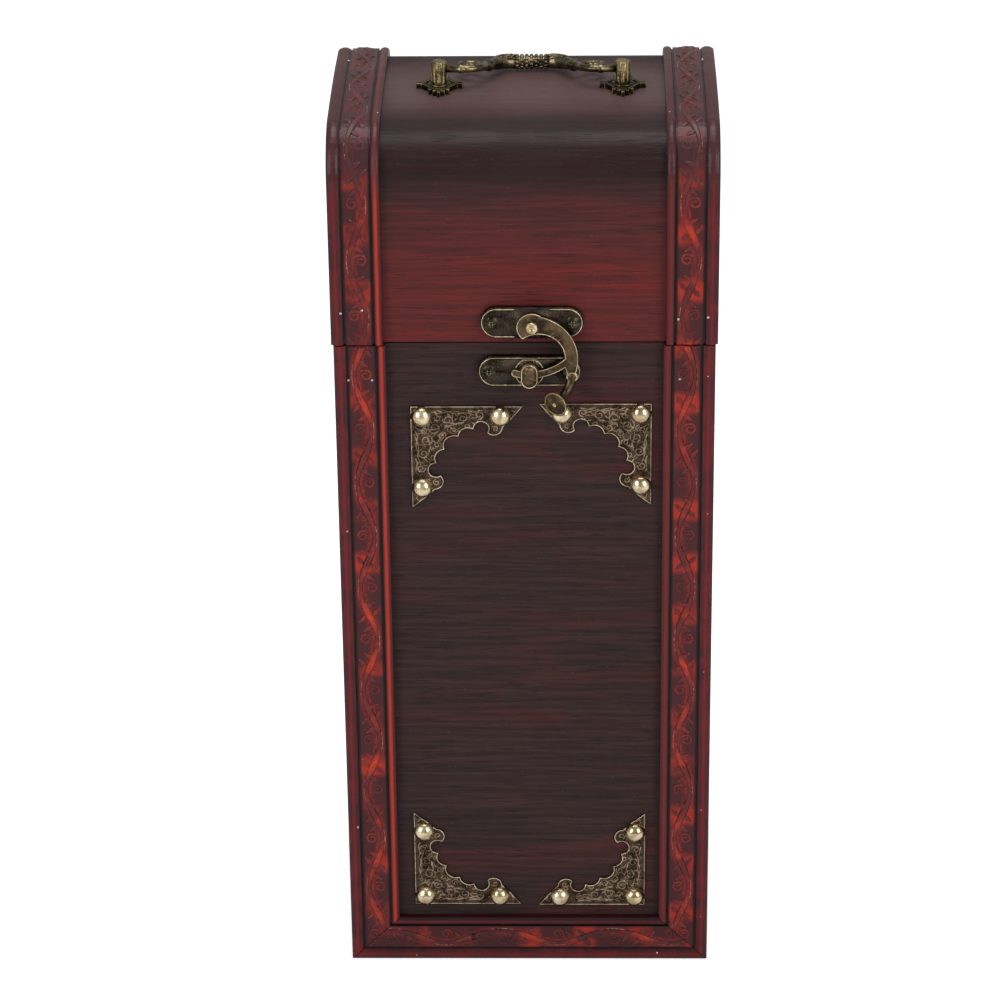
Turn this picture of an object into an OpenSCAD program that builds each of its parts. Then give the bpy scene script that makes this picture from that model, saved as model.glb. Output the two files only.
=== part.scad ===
// Upright wooden box for one bottle, with a round-shouldered hinged lid,
// a swing-hook latch, stamped corner brackets and a drop handle.
// Millimetres. The front faces -Y, +X is to the right and +Z is up.
// The origin is at the centre of the foot of everything drawn.

/* [Body] */
// Width of the body over its side panels
body_w = 140; // [110:1:190]
// Depth over the front moulding and the lid's rear moulding
body_d = 108; // [95:1:140]
// Height of the body from the floor to the seam
body_h = 265; // [180:1:360]
// Thickness of the body's boards
panel_t = 6; // [4:0.5:9]
// Gap between the body and the closed lid
seam_gap = 0.5; // [0.3:0.1:1]

/* [Lid] */
// Height of the closed lid above the seam, over its mouldings
lid_h = 84; // [70:1:110]
// How far each side of the lid stands out past the body
lid_overhang = 0.8; // [0:0.1:2]
// Radius of the lid's front and rear shoulders
lid_shoulder_r = 18.7; // [12:0.1:30]
// Height of the shoulder's centre above the seam
lid_shoulder_h = 64; // [44:0.5:90]
// Thickness of the lid's bent board
lid_board_t = 5; // [4:0.5:7]
// Thickness of the lid's end boards
lid_end_t = 6; // [4:0.5:9]

/* [Mouldings] */
// Width of the embossed moulding
trim_w = 19; // [14:0.5:24]
// Thickness of the moulding at the crest of its beads
trim_t = 3.4; // [2.4:0.1:5]
// Width of the bead along the outer edge
outer_bead_w = 4.8; // [3:0.1:6]
// Width of the bead along the inner edge
inner_bead_w = 3.1; // [2:0.1:5]
// Width of the groove beside each bead
bead_groove_w = 0.6; // [0.4:0.1:1]
// Depth of the flat band below the crest of the beads
band_recess = 0.4; // [0.2:0.1:0.8]
// Gap left where two mouldings meet in a mitre
mitre_gap = 0.15; // [0:0.05:0.4]

/* [Corner brackets] */
// Length of each leg of a bracket
bracket_leg = 41; // [38:0.5:44]
// Thickness of the bracket's sheet
bracket_t = 0.9; // [0.6:0.1:1.4]
// Distance of a bracket's corner from the box's centre line
bracket_corner_x = 44.4; // [42:0.1:48]
// Distance of the upper brackets below the seam
bracket_top_drop = 25; // [22:0.5:40]
// Distance of the lower brackets above the rail
bracket_foot_gap = 5.3; // [2:0.1:15]
// Radius of a domed nail
nail_r = 4.1; // [3:0.1:4.5]
// Height of a nail's dome
nail_dome_h = 3.5; // [1.5:0.1:4]
// Radius of a nail's shank
nail_shank_r = 0.8; // [0.6:0.1:1.2]
// Length of a nail's shank
nail_len = 5; // [4:0.5:5.5]

/* [Latch] */
// Distance of the latch to the right of the box's centre line
latch_x = 2.8; // [0:0.1:6]
// Height of the hook plate's centre above the seam
hook_plate_up = 8.9; // [8:0.1:12]
// Depth of the catch plate's centre below the seam
catch_plate_down = 10.5; // [9:0.1:14]
// Length of both latch plates
latch_plate_l = 37.9; // [34:0.1:44]
// Width of both latch plates
latch_plate_w = 12; // [10:0.1:14]
// Thickness of both latch plates
latch_plate_t = 2.4; // [1.5:0.1:3]
// Distance between the two screws of a plate
latch_screw_pitch = 29.8; // [26:0.1:32]
// Thickness of the swing hook
hook_t = 2.4; // [1.8:0.1:3]
// Radius of the hook's eye
hook_eye_r = 5.4; // [4.5:0.1:6]
// Width of the hook's claw
claw_w = 2.4; // [2:0.1:3.2]
// Radius of the hook's thumb knob
knob_r = 4.85; // [4:0.05:6]
// Radius of the rivet's shank
rivet_r = 1.5; // [1.2:0.1:2]

/* [Hinges] */
// Distance of each hinge's centre from the box's centre line
hinge_x = 32; // [25:0.5:38]
// Length of a hinge along its pin
hinge_l = 25; // [20:0.5:30]
// Height of one leaf, from the pin to its free edge
leaf_h = 15; // [13:0.5:20]
// Thickness of a leaf
leaf_t = 1.2; // [0.8:0.1:1.6]
// Outer radius of the knuckles
knuckle_r = 2.3; // [2.2:0.1:3]
// Radius of the hinge pins
hinge_pin_r = 1.1; // [0.8:0.05:1.3]

/* [Handle] */
// Distance of each post from the handle's middle
post_x = 33.8; // [28:0.1:40]
// Radius of a post over its flutes
post_r = 2.95; // [2.6:0.05:3.5]
// Height of a post above its rosette
post_h = 8.4; // [7:0.1:10]
// Height of the bail's pivot above the rosette
bail_pivot_h = 5.2; // [4.5:0.1:6]
// Radius of the bail's end pins
bail_pin_r = 1.35; // [1.1:0.05:1.6]
// Distance from the pivot to the middle of the grip
bail_reach = 20.8; // [18:0.1:26]
// Radius of the grip
grip_r = 2.9; // [2.4:0.1:3.4]
// Half the length of the beaded barrel
barrel_half = 6.3; // [5:0.1:8]
// Half the width of a rosette, along the box
rosette_half_w = 8.5; // [7:0.1:10]
// Half the length of a rosette, across the box
rosette_half_l = 10.2; // [8:0.1:12]
// Thickness of a rosette
rosette_t = 2; // [1.4:0.1:3]

/* [Clearances] */
// Radial clearance of what turns on a pin
running_fit = 0.05; // [0.02:0.01:0.1]
// Radial clearance of screws, nails and pins in their holes
seat_fit = 0.03; // [0.01:0.01:0.1]
// Gap between the hook and what it passes
hook_gap = 0.4; // [0.3:0.05:0.6]
// Gap between the resting bail and the lid
bail_rest_gap = 0.3; // [0.2:0.05:0.6]

/* [Hidden] */
$fn = 48;
eps = 0.01;

// Finishes
dark_wood = [0.16, 0.09, 0.08];
red_wood = [0.38, 0.10, 0.08];
brass = [0.46, 0.40, 0.24];
bright_brass = [0.78, 0.68, 0.42];
steel = [0.45, 0.44, 0.42];

// What stands out past the wood, in front and behind
knuckle_gap = 0.2;
knuckle_stand = 0.3;
hook_back = latch_plate_t + 2;
tail_bend_r = 8;
tail_bend_a = 80;
tail_lean = 31;
knob_l = 3.9;
knob_rim_l = 3.1;
knob_rise = sin(tail_bend_a) * cos(tail_lean);
front_proud = hook_back + hook_t / 2 + tail_bend_r * (1 - cos(tail_bend_a)) * cos(tail_lean)
    + knob_rim_l * knob_rise + knob_r * sqrt(1 - knob_rise * knob_rise) - trim_t;
hinge_proud = 2 * knuckle_r + knuckle_stand - trim_t;

// Front to back, with the middle of everything at Y = 0
front_y = -(body_d + front_proud + hinge_proud) / 2 + front_proud;
rear_y = front_y + body_d;
panel_front_y = front_y + trim_t;
panel_rear_y = rear_y - trim_t;
mid_y = (front_y + rear_y) / 2;
inner_front_y = panel_front_y + panel_t;
inner_rear_y = panel_rear_y - panel_t;

// Lid
lid_w = body_w + 2 * lid_overhang;
lid_z = body_h + seam_gap;
shoulder_y = body_d / 2 - lid_shoulder_r;
crown_rise = lid_h - lid_shoulder_h;
crown_r = (pow(shoulder_y, 2) + pow(crown_rise, 2) - pow(lid_shoulder_r, 2))
    / (2 * (crown_rise - lid_shoulder_r));
crown_centre_h = lid_h - crown_r;
shoulder_a = atan2(lid_shoulder_h - crown_centre_h, -shoulder_y);
lid_top_z = body_h + lid_h - trim_t;

// Mouldings
outer_crown = 0.9;
inner_crown = 0.7;
bead_steps = 8;
shoulder_steps = 12;
crown_steps = 8;
groove_depth = 1.1;

// Corner brackets: cusps and sizes measured from the corner along the legs
bracket_cusps = [[22.8, 8.9], [17.3, 12.0], [12.0, 17.3], [8.9, 22.8]];
cusp_sag = [1.7, 2.4, 1.7];
hook_bite = [25.9, 8.9];
hook_bite_r = 2.95;
lobe = [30.6, 8.4];
lobe_r = 3.1;
tip_shoulder = [36.7, 5.3];
nail_corner = [3.9, 3.8];
nail_far = [33, 3.7];
// Each bracket is nailed on by hand: its shift right and up from the true place
bracket_shift = [[2.2, -0.4], [2.2, 0.6], [0, 0.2], [0.8, -0.2]];

// Latch
hook_plate_z = body_h + hook_plate_up;
catch_plate_z = body_h - catch_plate_down;
catch_x = latch_x - 1;
saddle_w = 10;
saddle_slope = 1.5;
plate_bevel = 0.6;
saddle_reach = latch_plate_w / 2 - plate_bevel;
saddle_h = hook_back - hook_gap / 2 - latch_plate_t;
disc_r = 5.2;
disc_h = 0.9;
neck_w = 3;
neck_h = 2.6;
neck_up = 3.5;
tongue_w = 6.6;
tongue_h = 9.9;
tongue_t = 2.2;
tongue_up = 1;
tongue_back = hook_back + hook_t + hook_gap;
hook_drop = hook_plate_up + catch_plate_down - neck_up + neck_h / 2;
claw_centre = [-1, 2];
claw_r = hook_drop + hook_gap + claw_centre[1];
claw_tip_a = 255.5;
claw_root_a = 315;
arm_top = 4.6;
arm_outer = [-0.6, 4.5 - hook_drop];
arm_outer_r = arm_top - arm_outer[1];
arm_inner = [2.5, 5.1 - hook_drop];
arm_inner_r = -2.4 - arm_inner[1];
tail_r = 1.8;
tail_a = -24.5;
tail_out = 1.2;
tail_start = arm_outer + (arm_outer_r - tail_r + tail_out) * [cos(tail_a), sin(tail_a)];
tail_dir = 262.6;
rivet_head_r = 2.4;
rivet_head_h = 1;

// Screws of the latch and the hinges, and the room left past their tips
pilot_room = 0.4;
screw_head_r = 2.5;
screw_head_h = 0.9;
screw_shank_r = 1.1;
latch_screw_len = 6.4;
hinge_screw_len = 5.5;
hinge_screw_pitch = 15;
hinge_screw_h = 9.5;
hinge_axis_y = panel_rear_y + knuckle_r + knuckle_stand;
hinge_axis_z = body_h + seam_gap / 2;
knuckle_l = (hinge_l - 2 * knuckle_gap) / 3;

// Handle
handle_x = 2.4;
nut_h = 2.4;
nut_r = 3.2;
nut_drop = pow(nut_r, 2) / (2 * (crown_r - trim_t - lid_board_t));
stud_r = 1.45;
flutes = 10;
pivot_z = lid_top_z + rosette_t + bail_pivot_h;
lid_drop_at_grip = pow(bail_reach, 2) / (2 * crown_r);
bail_rest_a = asin((rosette_t + bail_pivot_h + lid_drop_at_grip - grip_r - bail_rest_gap) / bail_reach);
arm_r = 1.35;
bend_r = 8;
bend_a = 65;
pin_len = 2.6;
pin_tip_x = post_x - post_r + pin_len;
bend_x = post_x - 8.3;
bend_end = [bend_x - bend_r * sin(bend_a), bend_r * (1 - cos(bend_a))];
// Length of the straight and radius of the sleeve bend that bring the arm to the barrel
run_x = bend_end[0] - barrel_half;
run_y = bail_reach - bend_end[1];
sleeve_k = (1 - cos(bend_a)) / sin(bend_a);
run_l = (run_y - run_x * sleeve_k) / (sin(bend_a) - cos(bend_a) * sleeve_k);
sleeve_bend_r = (run_x - run_l * cos(bend_a)) / sin(bend_a);
sleeve_r = 2.6;
collar = 0.25;
scroll_r = 3.6;
scroll_tube_r = 1.1;
bead_rings = 5;

function bead_r(w, s) = (pow(w / 2, 2) + pow(s, 2)) / (2 * s);

// Board from one corner to the opposite one
module board(low, high) {
    translate(low) cube(high - low);
}

// Puts a drawing of (X, Z) on the front panel's face, standing out towards the viewer
module on_front(x, z, out = 0) {
    translate([x, panel_front_y - out, z]) rotate([90, 0, 0]) children();
}

// Puts a drawing of (X, Z) on the rear panel's face, standing out to the rear
module on_rear(x, z, out = 0) {
    translate([x, panel_rear_y + out, z]) rotate([-90, 0, 0]) mirror([0, 1, 0]) children();
}

// Turns a drawing of (Y, Z) so that it is extruded along X
module along_x(x = 0) {
    translate([x, 0, 0]) rotate([90, 0, 90]) children();
}

// Shape with its long sides parallel and its ends round
module obround(l, w) {
    union() {
        square([l - w, w], center = true);
        for (side = [-1, 1]) translate([side * (l - w) / 2, 0]) circle(d = w);
    }
}

// Hole into the wood, which is below Z = 0, for what reaches to a given depth
module pilot_hole(depth, r = screw_shank_r) {
    translate([0, 0, -depth - pilot_room]) cylinder(r = r + seat_fit, h = depth + pilot_room + eps);
}

// ---- Wood ----

// Places of the nails of one bracket, from its corner along the legs
function nail_places() = [nail_corner, nail_far, [nail_far[1], nail_far[0]]];

// Corner of bracket i, counted upper left, upper right, lower left, lower right
function bracket_corner(i) = [
    (i == 1 || i == 3 ? 1 : -1) * bracket_corner_x + bracket_shift[i][0],
    (i < 2 ? body_h - bracket_top_drop : trim_w + bracket_foot_gap) + bracket_shift[i][1]];

// Mirrors what is drawn for the upper left bracket to bracket i
module at_bracket(i, out = 0) {
    c = bracket_corner(i);
    on_front(c[0], c[1], out)
        mirror([i == 1 || i == 3 ? 1 : 0, 0, 0]) mirror([0, i < 2 ? 1 : 0, 0]) children();
}

module base_board() {
    color(dark_wood)
        board([-body_w / 2 + panel_t, inner_front_y, 0], [body_w / 2 - panel_t, inner_rear_y, panel_t]);
}

module front_panel() {
    color(dark_wood) difference() {
        board([-body_w / 2, panel_front_y, 0], [body_w / 2, inner_front_y, body_h]);
        for (side = [-1, 1])
            on_front(catch_x + side * latch_screw_pitch / 2, catch_plate_z)
                pilot_hole(latch_screw_len - latch_plate_t);
        for (i = [0:3], p = nail_places())
            at_bracket(i) translate(p) pilot_hole(nail_len - bracket_t, nail_shank_r);
    }
}

module back_panel() {
    color(dark_wood) difference() {
        board([-body_w / 2, inner_rear_y, 0], [body_w / 2, panel_rear_y, body_h]);
        at_hinge_screws(-1) pilot_hole(hinge_screw_len - leaf_t);
    }
}

module side_panel(side) {
    color(red_wood)
        mirror([side > 0 ? 1 : 0, 0, 0])
            board([-body_w / 2, inner_front_y, 0], [-body_w / 2 + panel_t, inner_rear_y, body_h]);
}

// Round crest of a bead that starts at X = from
function bead_points(from, w, crown) = [for (i = [0:bead_steps])
    let(r = bead_r(w, crown), x = w * (i / bead_steps - 0.5))
        [from + w / 2 + x, trim_t - r + sqrt(r * r - x * x)]];

// Section of the moulding: the glued face at Y = 0 and the outer edge at X = 0
function moulding_points() =
    let(floor_y = trim_t - groove_depth, band_y = trim_t - band_recess,
        band_x = outer_bead_w + bead_groove_w, inner_x = trim_w - inner_bead_w)
    concat([[0, 0]], bead_points(0, outer_bead_w, outer_crown),
        [[outer_bead_w, floor_y], [band_x, floor_y], [band_x, band_y],
            [inner_x - bead_groove_w, band_y], [inner_x - bead_groove_w, floor_y], [inner_x, floor_y]],
        bead_points(inner_x, inner_bead_w, inner_crown), [[trim_w, 0]]);

// Upright moulding on the front's left edge, cut to a mitre at its foot
module stile() {
    far = trim_w + 1;
    color(red_wood) difference() {
        translate([-body_w / 2, panel_front_y, 0]) mirror([0, 1, 0])
            linear_extrude(body_h) polygon(moulding_points());
        on_front(-body_w / 2, 0, -1) linear_extrude(trim_t + 2)
            polygon([[-1, -1 + mitre_gap], [far, far + mitre_gap], [far, -1]]);
    }
}

// Moulding across the foot of the front, mitred at both ends
module bottom_rail() {
    half = body_w / 2;
    color(red_wood) intersection() {
        along_x(-half) translate([panel_front_y, 0, 0])
            linear_extrude(body_w) rotate(90) polygon(moulding_points());
        on_front(0, 0, -1) linear_extrude(trim_t + 2)
            polygon([[mitre_gap - half, 0], [half - mitre_gap, 0],
                [half - trim_w - mitre_gap, trim_w], [trim_w + mitre_gap - half, trim_w]]);
    }
}

// Outline of the lid seen from its end, drawn inset from the face of the mouldings
module lid_outline(inset, drop = 0) {
    c = [0, crown_centre_h];
    wedge = 2 * lid_h / (lid_shoulder_h - crown_centre_h);
    translate([mid_y, body_h]) union() {
        translate([-body_d / 2 + inset, seam_gap - drop])
            square([body_d - 2 * inset, lid_shoulder_h - seam_gap + drop]);
        for (side = [-1, 1]) translate([side * shoulder_y, lid_shoulder_h]) circle(lid_shoulder_r - inset);
        intersection() {
            translate(c) circle(crown_r - inset, $fn = 360);
            polygon([[-shoulder_y, lid_shoulder_h], [shoulder_y, lid_shoulder_h],
                [shoulder_y * (1 + wedge), lid_shoulder_h + 2 * lid_h],
                [-shoulder_y * (1 + wedge), lid_shoulder_h + 2 * lid_h]]);
        }
    }
}

module lid_shell() {
    color(red_wood) difference() {
        along_x(-lid_w / 2) linear_extrude(lid_w) lid_outline(trim_t);
        along_x(-lid_w / 2 - 1) linear_extrude(lid_w + 2) lid_outline(trim_t + lid_board_t, 1);
        for (side = [-1, 1])
            on_front(latch_x + side * latch_screw_pitch / 2, hook_plate_z)
                pilot_hole(latch_screw_len - latch_plate_t);
        for (side = [-1, 1])
            translate([handle_x + side * post_x, mid_y, lid_top_z - lid_board_t - 1])
                cylinder(r = stud_r + seat_fit, h = lid_board_t + 2);
        at_hinge_screws(1) pilot_hole(hinge_screw_len - leaf_t);
    }
}

module lid_end(side) {
    color(red_wood) mirror([side > 0 ? 1 : 0, 0, 0])
        along_x(-lid_w / 2) linear_extrude(lid_end_t) lid_outline(trim_t + lid_board_t);
}

// Stations along the lid's moulding: Y, height above the seam and the outward angle.
// They lie where flats that touch the arc meet, so the moulding's back never cuts into the lid.
function arc_stations(centre, r, from, to, steps) = [for (i = [0:steps - 1])
    let(
        a = from + (to - from) * (i + 0.5) / steps,
        reach = (r - trim_t) / cos((to - from) / steps / 2)
    ) concat(centre + reach * [cos(a), sin(a)], [a])];

function band_stations() = concat(
    [for (h = [seam_gap, lid_shoulder_h]) [trim_t - body_d / 2, h, 180]],
    arc_stations([-shoulder_y, lid_shoulder_h], lid_shoulder_r, 180, shoulder_a, shoulder_steps),
    arc_stations([0, crown_centre_h], crown_r, shoulder_a, 180 - shoulder_a, crown_steps),
    arc_stations([shoulder_y, lid_shoulder_h], lid_shoulder_r, 180 - shoulder_a, 0, shoulder_steps),
    [for (h = [lid_shoulder_h, seam_gap]) [body_d / 2 - trim_t, h, 0]]);

// Moulding over the lid's left edge, from the front seam over the top to the rear seam
module lid_band() {
    section = moulding_points();
    stations = band_stations();
    n = len(section);
    last = len(stations) - 1;
    color(red_wood) translate([-lid_w / 2, mid_y, body_h])
        polyhedron(
            points = [for (s = stations, p = section)
                [p[0], s[0] + p[1] * cos(s[2]), s[1] + p[1] * sin(s[2])]],
            faces = concat(
                [[for (k = [0:n - 1]) k]],
                [[for (k = [0:n - 1]) last * n + n - 1 - k]],
                [for (i = [0:last - 1], k = [0:n - 1])
                    [i * n + k, (i + 1) * n + k, (i + 1) * n + (k + 1) % n, i * n + (k + 1) % n]]));
}

// ---- Fasteners ----

// Cross-head screw with its seat at Z = 0 and its shank below
module screw(len) {
    cap_r = bead_r(2 * screw_head_r, screw_head_h);
    difference() {
        union() {
            intersection() {
                translate([0, 0, screw_head_h - cap_r]) sphere(cap_r);
                cylinder(r = screw_head_r, h = screw_head_h + 1);
            }
            translate([0, 0, -len]) cylinder(r = screw_shank_r, h = len + eps);
        }
        for (a = [0, 90])
            rotate([0, 0, a]) translate([-1.5, -0.35, screw_head_h - 0.6]) cube([3, 0.7, 1]);
    }
}

// Domed nail with its seat at Z = 0 and its shank below
module nail() {
    dome_r = bead_r(2 * nail_r, nail_dome_h);
    intersection() {
        translate([0, 0, nail_dome_h - dome_r]) sphere(dome_r);
        cylinder(r = nail_r, h = nail_dome_h + 1);
    }
    translate([0, 0, -nail_len]) cylinder(r = nail_shank_r, h = nail_len + eps);
}

// ---- Corner brackets ----

// Round bite between two cusps, cut by a given depth into the line between them
module bite(a, b, sag) {
    half = norm(b - a) / 2;
    r = bead_r(2 * half, sag);
    inward = [-(b[1] - a[1]), b[0] - a[0]] / (2 * half);
    centre = (a + b) / 2 + inward * (sag - r);
    translate(centre) circle(r);
}

// Half of the bracket's outline, below its diagonal
module bracket_half() {
    c = bracket_cusps;
    difference() {
        union() {
            polygon([[0, 0], [bracket_leg, 0], tip_shoulder, lobe + [lobe_r, 0], lobe, c[0], c[1],
                (c[1] + c[2]) / 2]);
            translate(lobe) circle(lobe_r);
        }
        translate(hook_bite) circle(hook_bite_r);
        bite(c[0], c[1], cusp_sag[0]);
    }
}

module bracket_outline() {
    c = bracket_cusps;
    difference() {
        union() {
            bracket_half();
            mirror([1, -1]) bracket_half();
        }
        bite(c[1], c[2], cusp_sag[1]);
        for (p = nail_places()) translate(p) circle(nail_shank_r + seat_fit);
    }
}

module bracket(i) {
    color(brass) at_bracket(i) linear_extrude(bracket_t) bracket_outline();
}

module bracket_nails() {
    color(bright_brass) for (i = [0:3], p = nail_places())
        at_bracket(i, bracket_t) translate(p) nail();
}

// ---- Latch ----

// Plate with round ends and a bevelled rim, with its back at Z = 0
module latch_plate() {
    bevel = plate_bevel;
    reach = (latch_plate_l - latch_plate_w) / 2;
    r = latch_plate_w / 2;
    for (side = [-1, 1]) translate([side * reach, 0, 0]) {
        cylinder(r = r, h = latch_plate_t - bevel);
        translate([0, 0, latch_plate_t - bevel]) cylinder(r1 = r, r2 = r - bevel, h = bevel);
    }
    rotate([90, 0, 90]) translate([0, 0, -reach]) linear_extrude(2 * reach)
        polygon([[-r, 0], [r, 0], [r, latch_plate_t - bevel], [r - bevel, latch_plate_t],
            [bevel - r, latch_plate_t], [-r, latch_plate_t - bevel]]);
}

module latch_screw_holes() {
    for (side = [-1, 1]) translate([side * latch_screw_pitch / 2, 0, -eps])
        cylinder(r = screw_shank_r + seat_fit, h = latch_plate_t + 2 * eps);
}

// Raised middle of the plate, which the hook turns on
module saddle() {
    top = latch_plate_t + saddle_h;
    foot = saddle_w / 2 + saddle_slope;
    rotate([90, 0, 0]) translate([0, 0, -saddle_reach]) linear_extrude(2 * saddle_reach)
        polygon([[-foot, latch_plate_t], [-foot + eps, latch_plate_t - eps], [foot - eps, latch_plate_t - eps],
            [foot, latch_plate_t], [saddle_w / 2, top], [-saddle_w / 2, top]]);
}

module hook_plate() {
    color(brass) on_front(latch_x, hook_plate_z) difference() {
        union() {
            latch_plate();
            saddle();
        }
        latch_screw_holes();
        translate([0, 0, -eps]) cylinder(r = rivet_r + seat_fit, h = hook_back);
    }
}

module catch_plate() {
    color(brass) on_front(catch_x, catch_plate_z) difference() {
        union() {
            latch_plate();
            cylinder(r = disc_r, h = latch_plate_t + disc_h);
            translate([-neck_w / 2, neck_up - neck_h / 2, latch_plate_t])
                cube([neck_w, neck_h, tongue_back - latch_plate_t + tongue_t / 2]);
            translate([0, tongue_up, tongue_back]) rotate([0, 0, 90]) {
                linear_extrude(tongue_t - 0.5) obround(tongue_h, tongue_w);
                linear_extrude(tongue_t) obround(tongue_h - 1, tongue_w - 1);
            }
        }
        latch_screw_holes();
    }
}

module latch_screws(x, z, finish) {
    color(finish) for (side = [-1, 1])
        on_front(x + side * latch_screw_pitch / 2, z, latch_plate_t) screw(latch_screw_len);
}

// Rivet through the hook's eye, with a dished head in front
module hook_rivet() {
    head_z = hook_back + hook_t + hook_gap / 2;
    color(bright_brass) on_front(latch_x, hook_plate_z) difference() {
        union() {
            cylinder(r = rivet_r, h = head_z + eps);
            translate([0, 0, head_z]) cylinder(r1 = rivet_head_r, r2 = rivet_head_r - 0.5, h = rivet_head_h);
        }
        translate([0, 0, head_z + rivet_head_h + 1.1]) sphere(1.6);
    }
}

// Outline of the hook's arm and claw, with the pivot at the origin
module hook_outline() {
    claw_mid_r = claw_r + claw_w / 2;
    difference() {
        union() {
            circle(hook_eye_r);
            intersection() {
                translate(arm_outer) circle(arm_outer_r, $fn = 96);
                polygon([[0, hook_eye_r], [arm_outer_r + 3, hook_eye_r], [arm_outer_r + 3, tail_start[1] + 1],
                    tail_start + [-0.8, -1.6], arm_inner + [arm_inner_r - 1, 0], [0, -1]]);
            }
            translate(tail_start) circle(tail_r + 0.1);
            intersection() {
                translate(claw_centre) difference() {
                    circle(claw_r + claw_w, $fn = 96);
                    circle(claw_r, $fn = 96);
                }
                polygon([claw_centre, claw_centre + 2 * claw_r * [cos(claw_tip_a), sin(claw_tip_a)],
                    claw_centre + 2 * claw_r * [0, -1],
                    claw_centre + 2 * claw_r * [cos(claw_root_a), sin(claw_root_a)]]);
            }
            translate(claw_centre + claw_mid_r * [cos(claw_tip_a), sin(claw_tip_a)]) circle(claw_w / 2);
        }
        intersection() {
            translate(arm_inner) circle(arm_inner_r, $fn = 96);
            translate(claw_centre) circle(claw_r, $fn = 96);
        }
        circle(rivet_r + running_fit);
    }
}

// Thumb knob: a trumpet flare closed by a shallow dome, along Z
module thumb_knob() {
    flare = 3.4;
    dome_r = bead_r(2 * knob_r, 0.9);
    rotate_extrude() difference() {
        union() {
            square([knob_r, knob_rim_l]);
            intersection() {
                translate([0, knob_l - dome_r]) circle(dome_r, $fn = 96);
                translate([0, knob_rim_l - 0.2]) square([knob_r, 2]);
            }
        }
        translate([tail_r + flare, -0.3]) circle(flare);
    }
}

module swing_hook() {
    mid = hook_t / 2;
    color(brass) on_front(latch_x, hook_plate_z, hook_back) union() {
        linear_extrude(hook_t) hook_outline();
        translate([tail_start[0], tail_start[1], mid]) rotate([0, 0, tail_dir]) rotate([tail_lean, 0, 0]) {
            rotate([0, 90, 0]) sphere(tail_r + 0.2);
            translate([0, 0, tail_bend_r]) rotate([90, 0, 0]) rotate([0, 0, -90])
                rotate_extrude(angle = tail_bend_a) translate([tail_bend_r, 0]) circle(tail_r);
            translate([tail_bend_r * sin(tail_bend_a), 0, tail_bend_r * (1 - cos(tail_bend_a))])
                rotate([0, 90 - tail_bend_a, 0]) {
                    thumb_knob();
                    translate([0, 0, -1]) cylinder(r = tail_r - 0.15, h = 1.5);
                }
        }
    }
}

// ---- Hinges ----

// Screw places on the leaves above (1) or below (-1) the pins, with Z out of the wood
module at_hinge_screws(up) {
    for (side = [-1, 1], end = [-1, 1])
        on_rear(side * hinge_x + end * hinge_screw_pitch / 2, hinge_axis_z + up * hinge_screw_h) children();
}

module knuckle(from, len) {
    along_x(from) translate([hinge_axis_y, hinge_axis_z, 0]) cylinder(r = knuckle_r, h = len);
}

// Hinge leaf above (1) or below (-1) the pin, with its knuckles
module hinge_leaf(side, up) {
    x0 = side * hinge_x - hinge_l / 2;
    mid_x = x0 + knuckle_l + knuckle_gap;
    pin_fit = up > 0 ? running_fit : seat_fit;
    starts = up > 0 ? [mid_x] : [x0, x0 + hinge_l - knuckle_l];
    color(brass) difference() {
        union() {
            difference() {
                on_rear(side * hinge_x - hinge_l / 2, hinge_axis_z + (up > 0 ? seam_gap / 2 : -leaf_h))
                    linear_extrude(leaf_t) square([hinge_l, leaf_h - seam_gap / 2]);
                // Room for the other leaf's knuckles
                for (x = up > 0 ? [x0, x0 + hinge_l - knuckle_l] : [mid_x])
                    along_x(x - knuckle_gap) translate([hinge_axis_y, hinge_axis_z, 0])
                        cylinder(r = knuckle_r + knuckle_gap, h = knuckle_l + 2 * knuckle_gap);
            }
            for (x = starts) {
                knuckle(x, knuckle_l);
                board([x, panel_rear_y, hinge_axis_z + (up > 0 ? 0 : -knuckle_r)],
                    [x + knuckle_l, hinge_axis_y, hinge_axis_z + (up > 0 ? knuckle_r : 0)]);
            }
        }
        along_x(x0 - 1) translate([hinge_axis_y, hinge_axis_z, 0])
            cylinder(r = hinge_pin_r + pin_fit, h = hinge_l + 2);
        at_hinge_screws(up) translate([0, 0, -eps])
            cylinder(r = screw_shank_r + seat_fit, h = leaf_t + 2 * eps);
    }
}

module hinge_pin(side) {
    color(steel) along_x(side * hinge_x - hinge_l / 2)
        translate([hinge_axis_y, hinge_axis_z, 0]) cylinder(r = hinge_pin_r, h = hinge_l);
}

module hinge_screws(up) {
    color(brass) at_hinge_screws(up) translate([0, 0, leaf_t]) screw(hinge_screw_len);
}

// ---- Handle ----

// Diamond plate with a raised border and toothed tips, lying on the lid
module rosette(side) {
    w = rosette_half_w;
    l = rosette_half_l;
    tooth = 1.1;
    color(brass) translate([handle_x + side * post_x, mid_y, lid_top_z]) difference() {
        union() {
            linear_extrude(rosette_t * 0.6) polygon([[w - 1, 0], [0, l - 1], [1 - w, 0], [0, 1 - l]]);
            linear_extrude(rosette_t) difference() {
                polygon([[w - 1, 0], [0, l - 1], [1 - w, 0], [0, 1 - l]]);
                polygon([[w - 2.6, 0], [0, l - 2.9], [2.6 - w, 0], [0, 2.9 - l]]);
            }
            for (end = [-1, 1]) {
                for (i = [-2:2])
                    mirror([0, end > 0 ? 0 : 1, 0])
                        translate([(1.5 * i - 0.5) * tooth, l - 4.2 - abs(i) * 1.3, 0])
                        cube([tooth, 4.2 - abs(i) * 0.1, rosette_t]);
                translate([end > 0 ? w - 2.4 : -w, -tooth, 0]) cube([2.4, 2 * tooth, rosette_t]);
            }
            cylinder(r = post_r + 1, h = rosette_t);
        }
        translate([0, 0, -1]) cylinder(r = stud_r + seat_fit, h = rosette_t + 2);
    }
}

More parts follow.
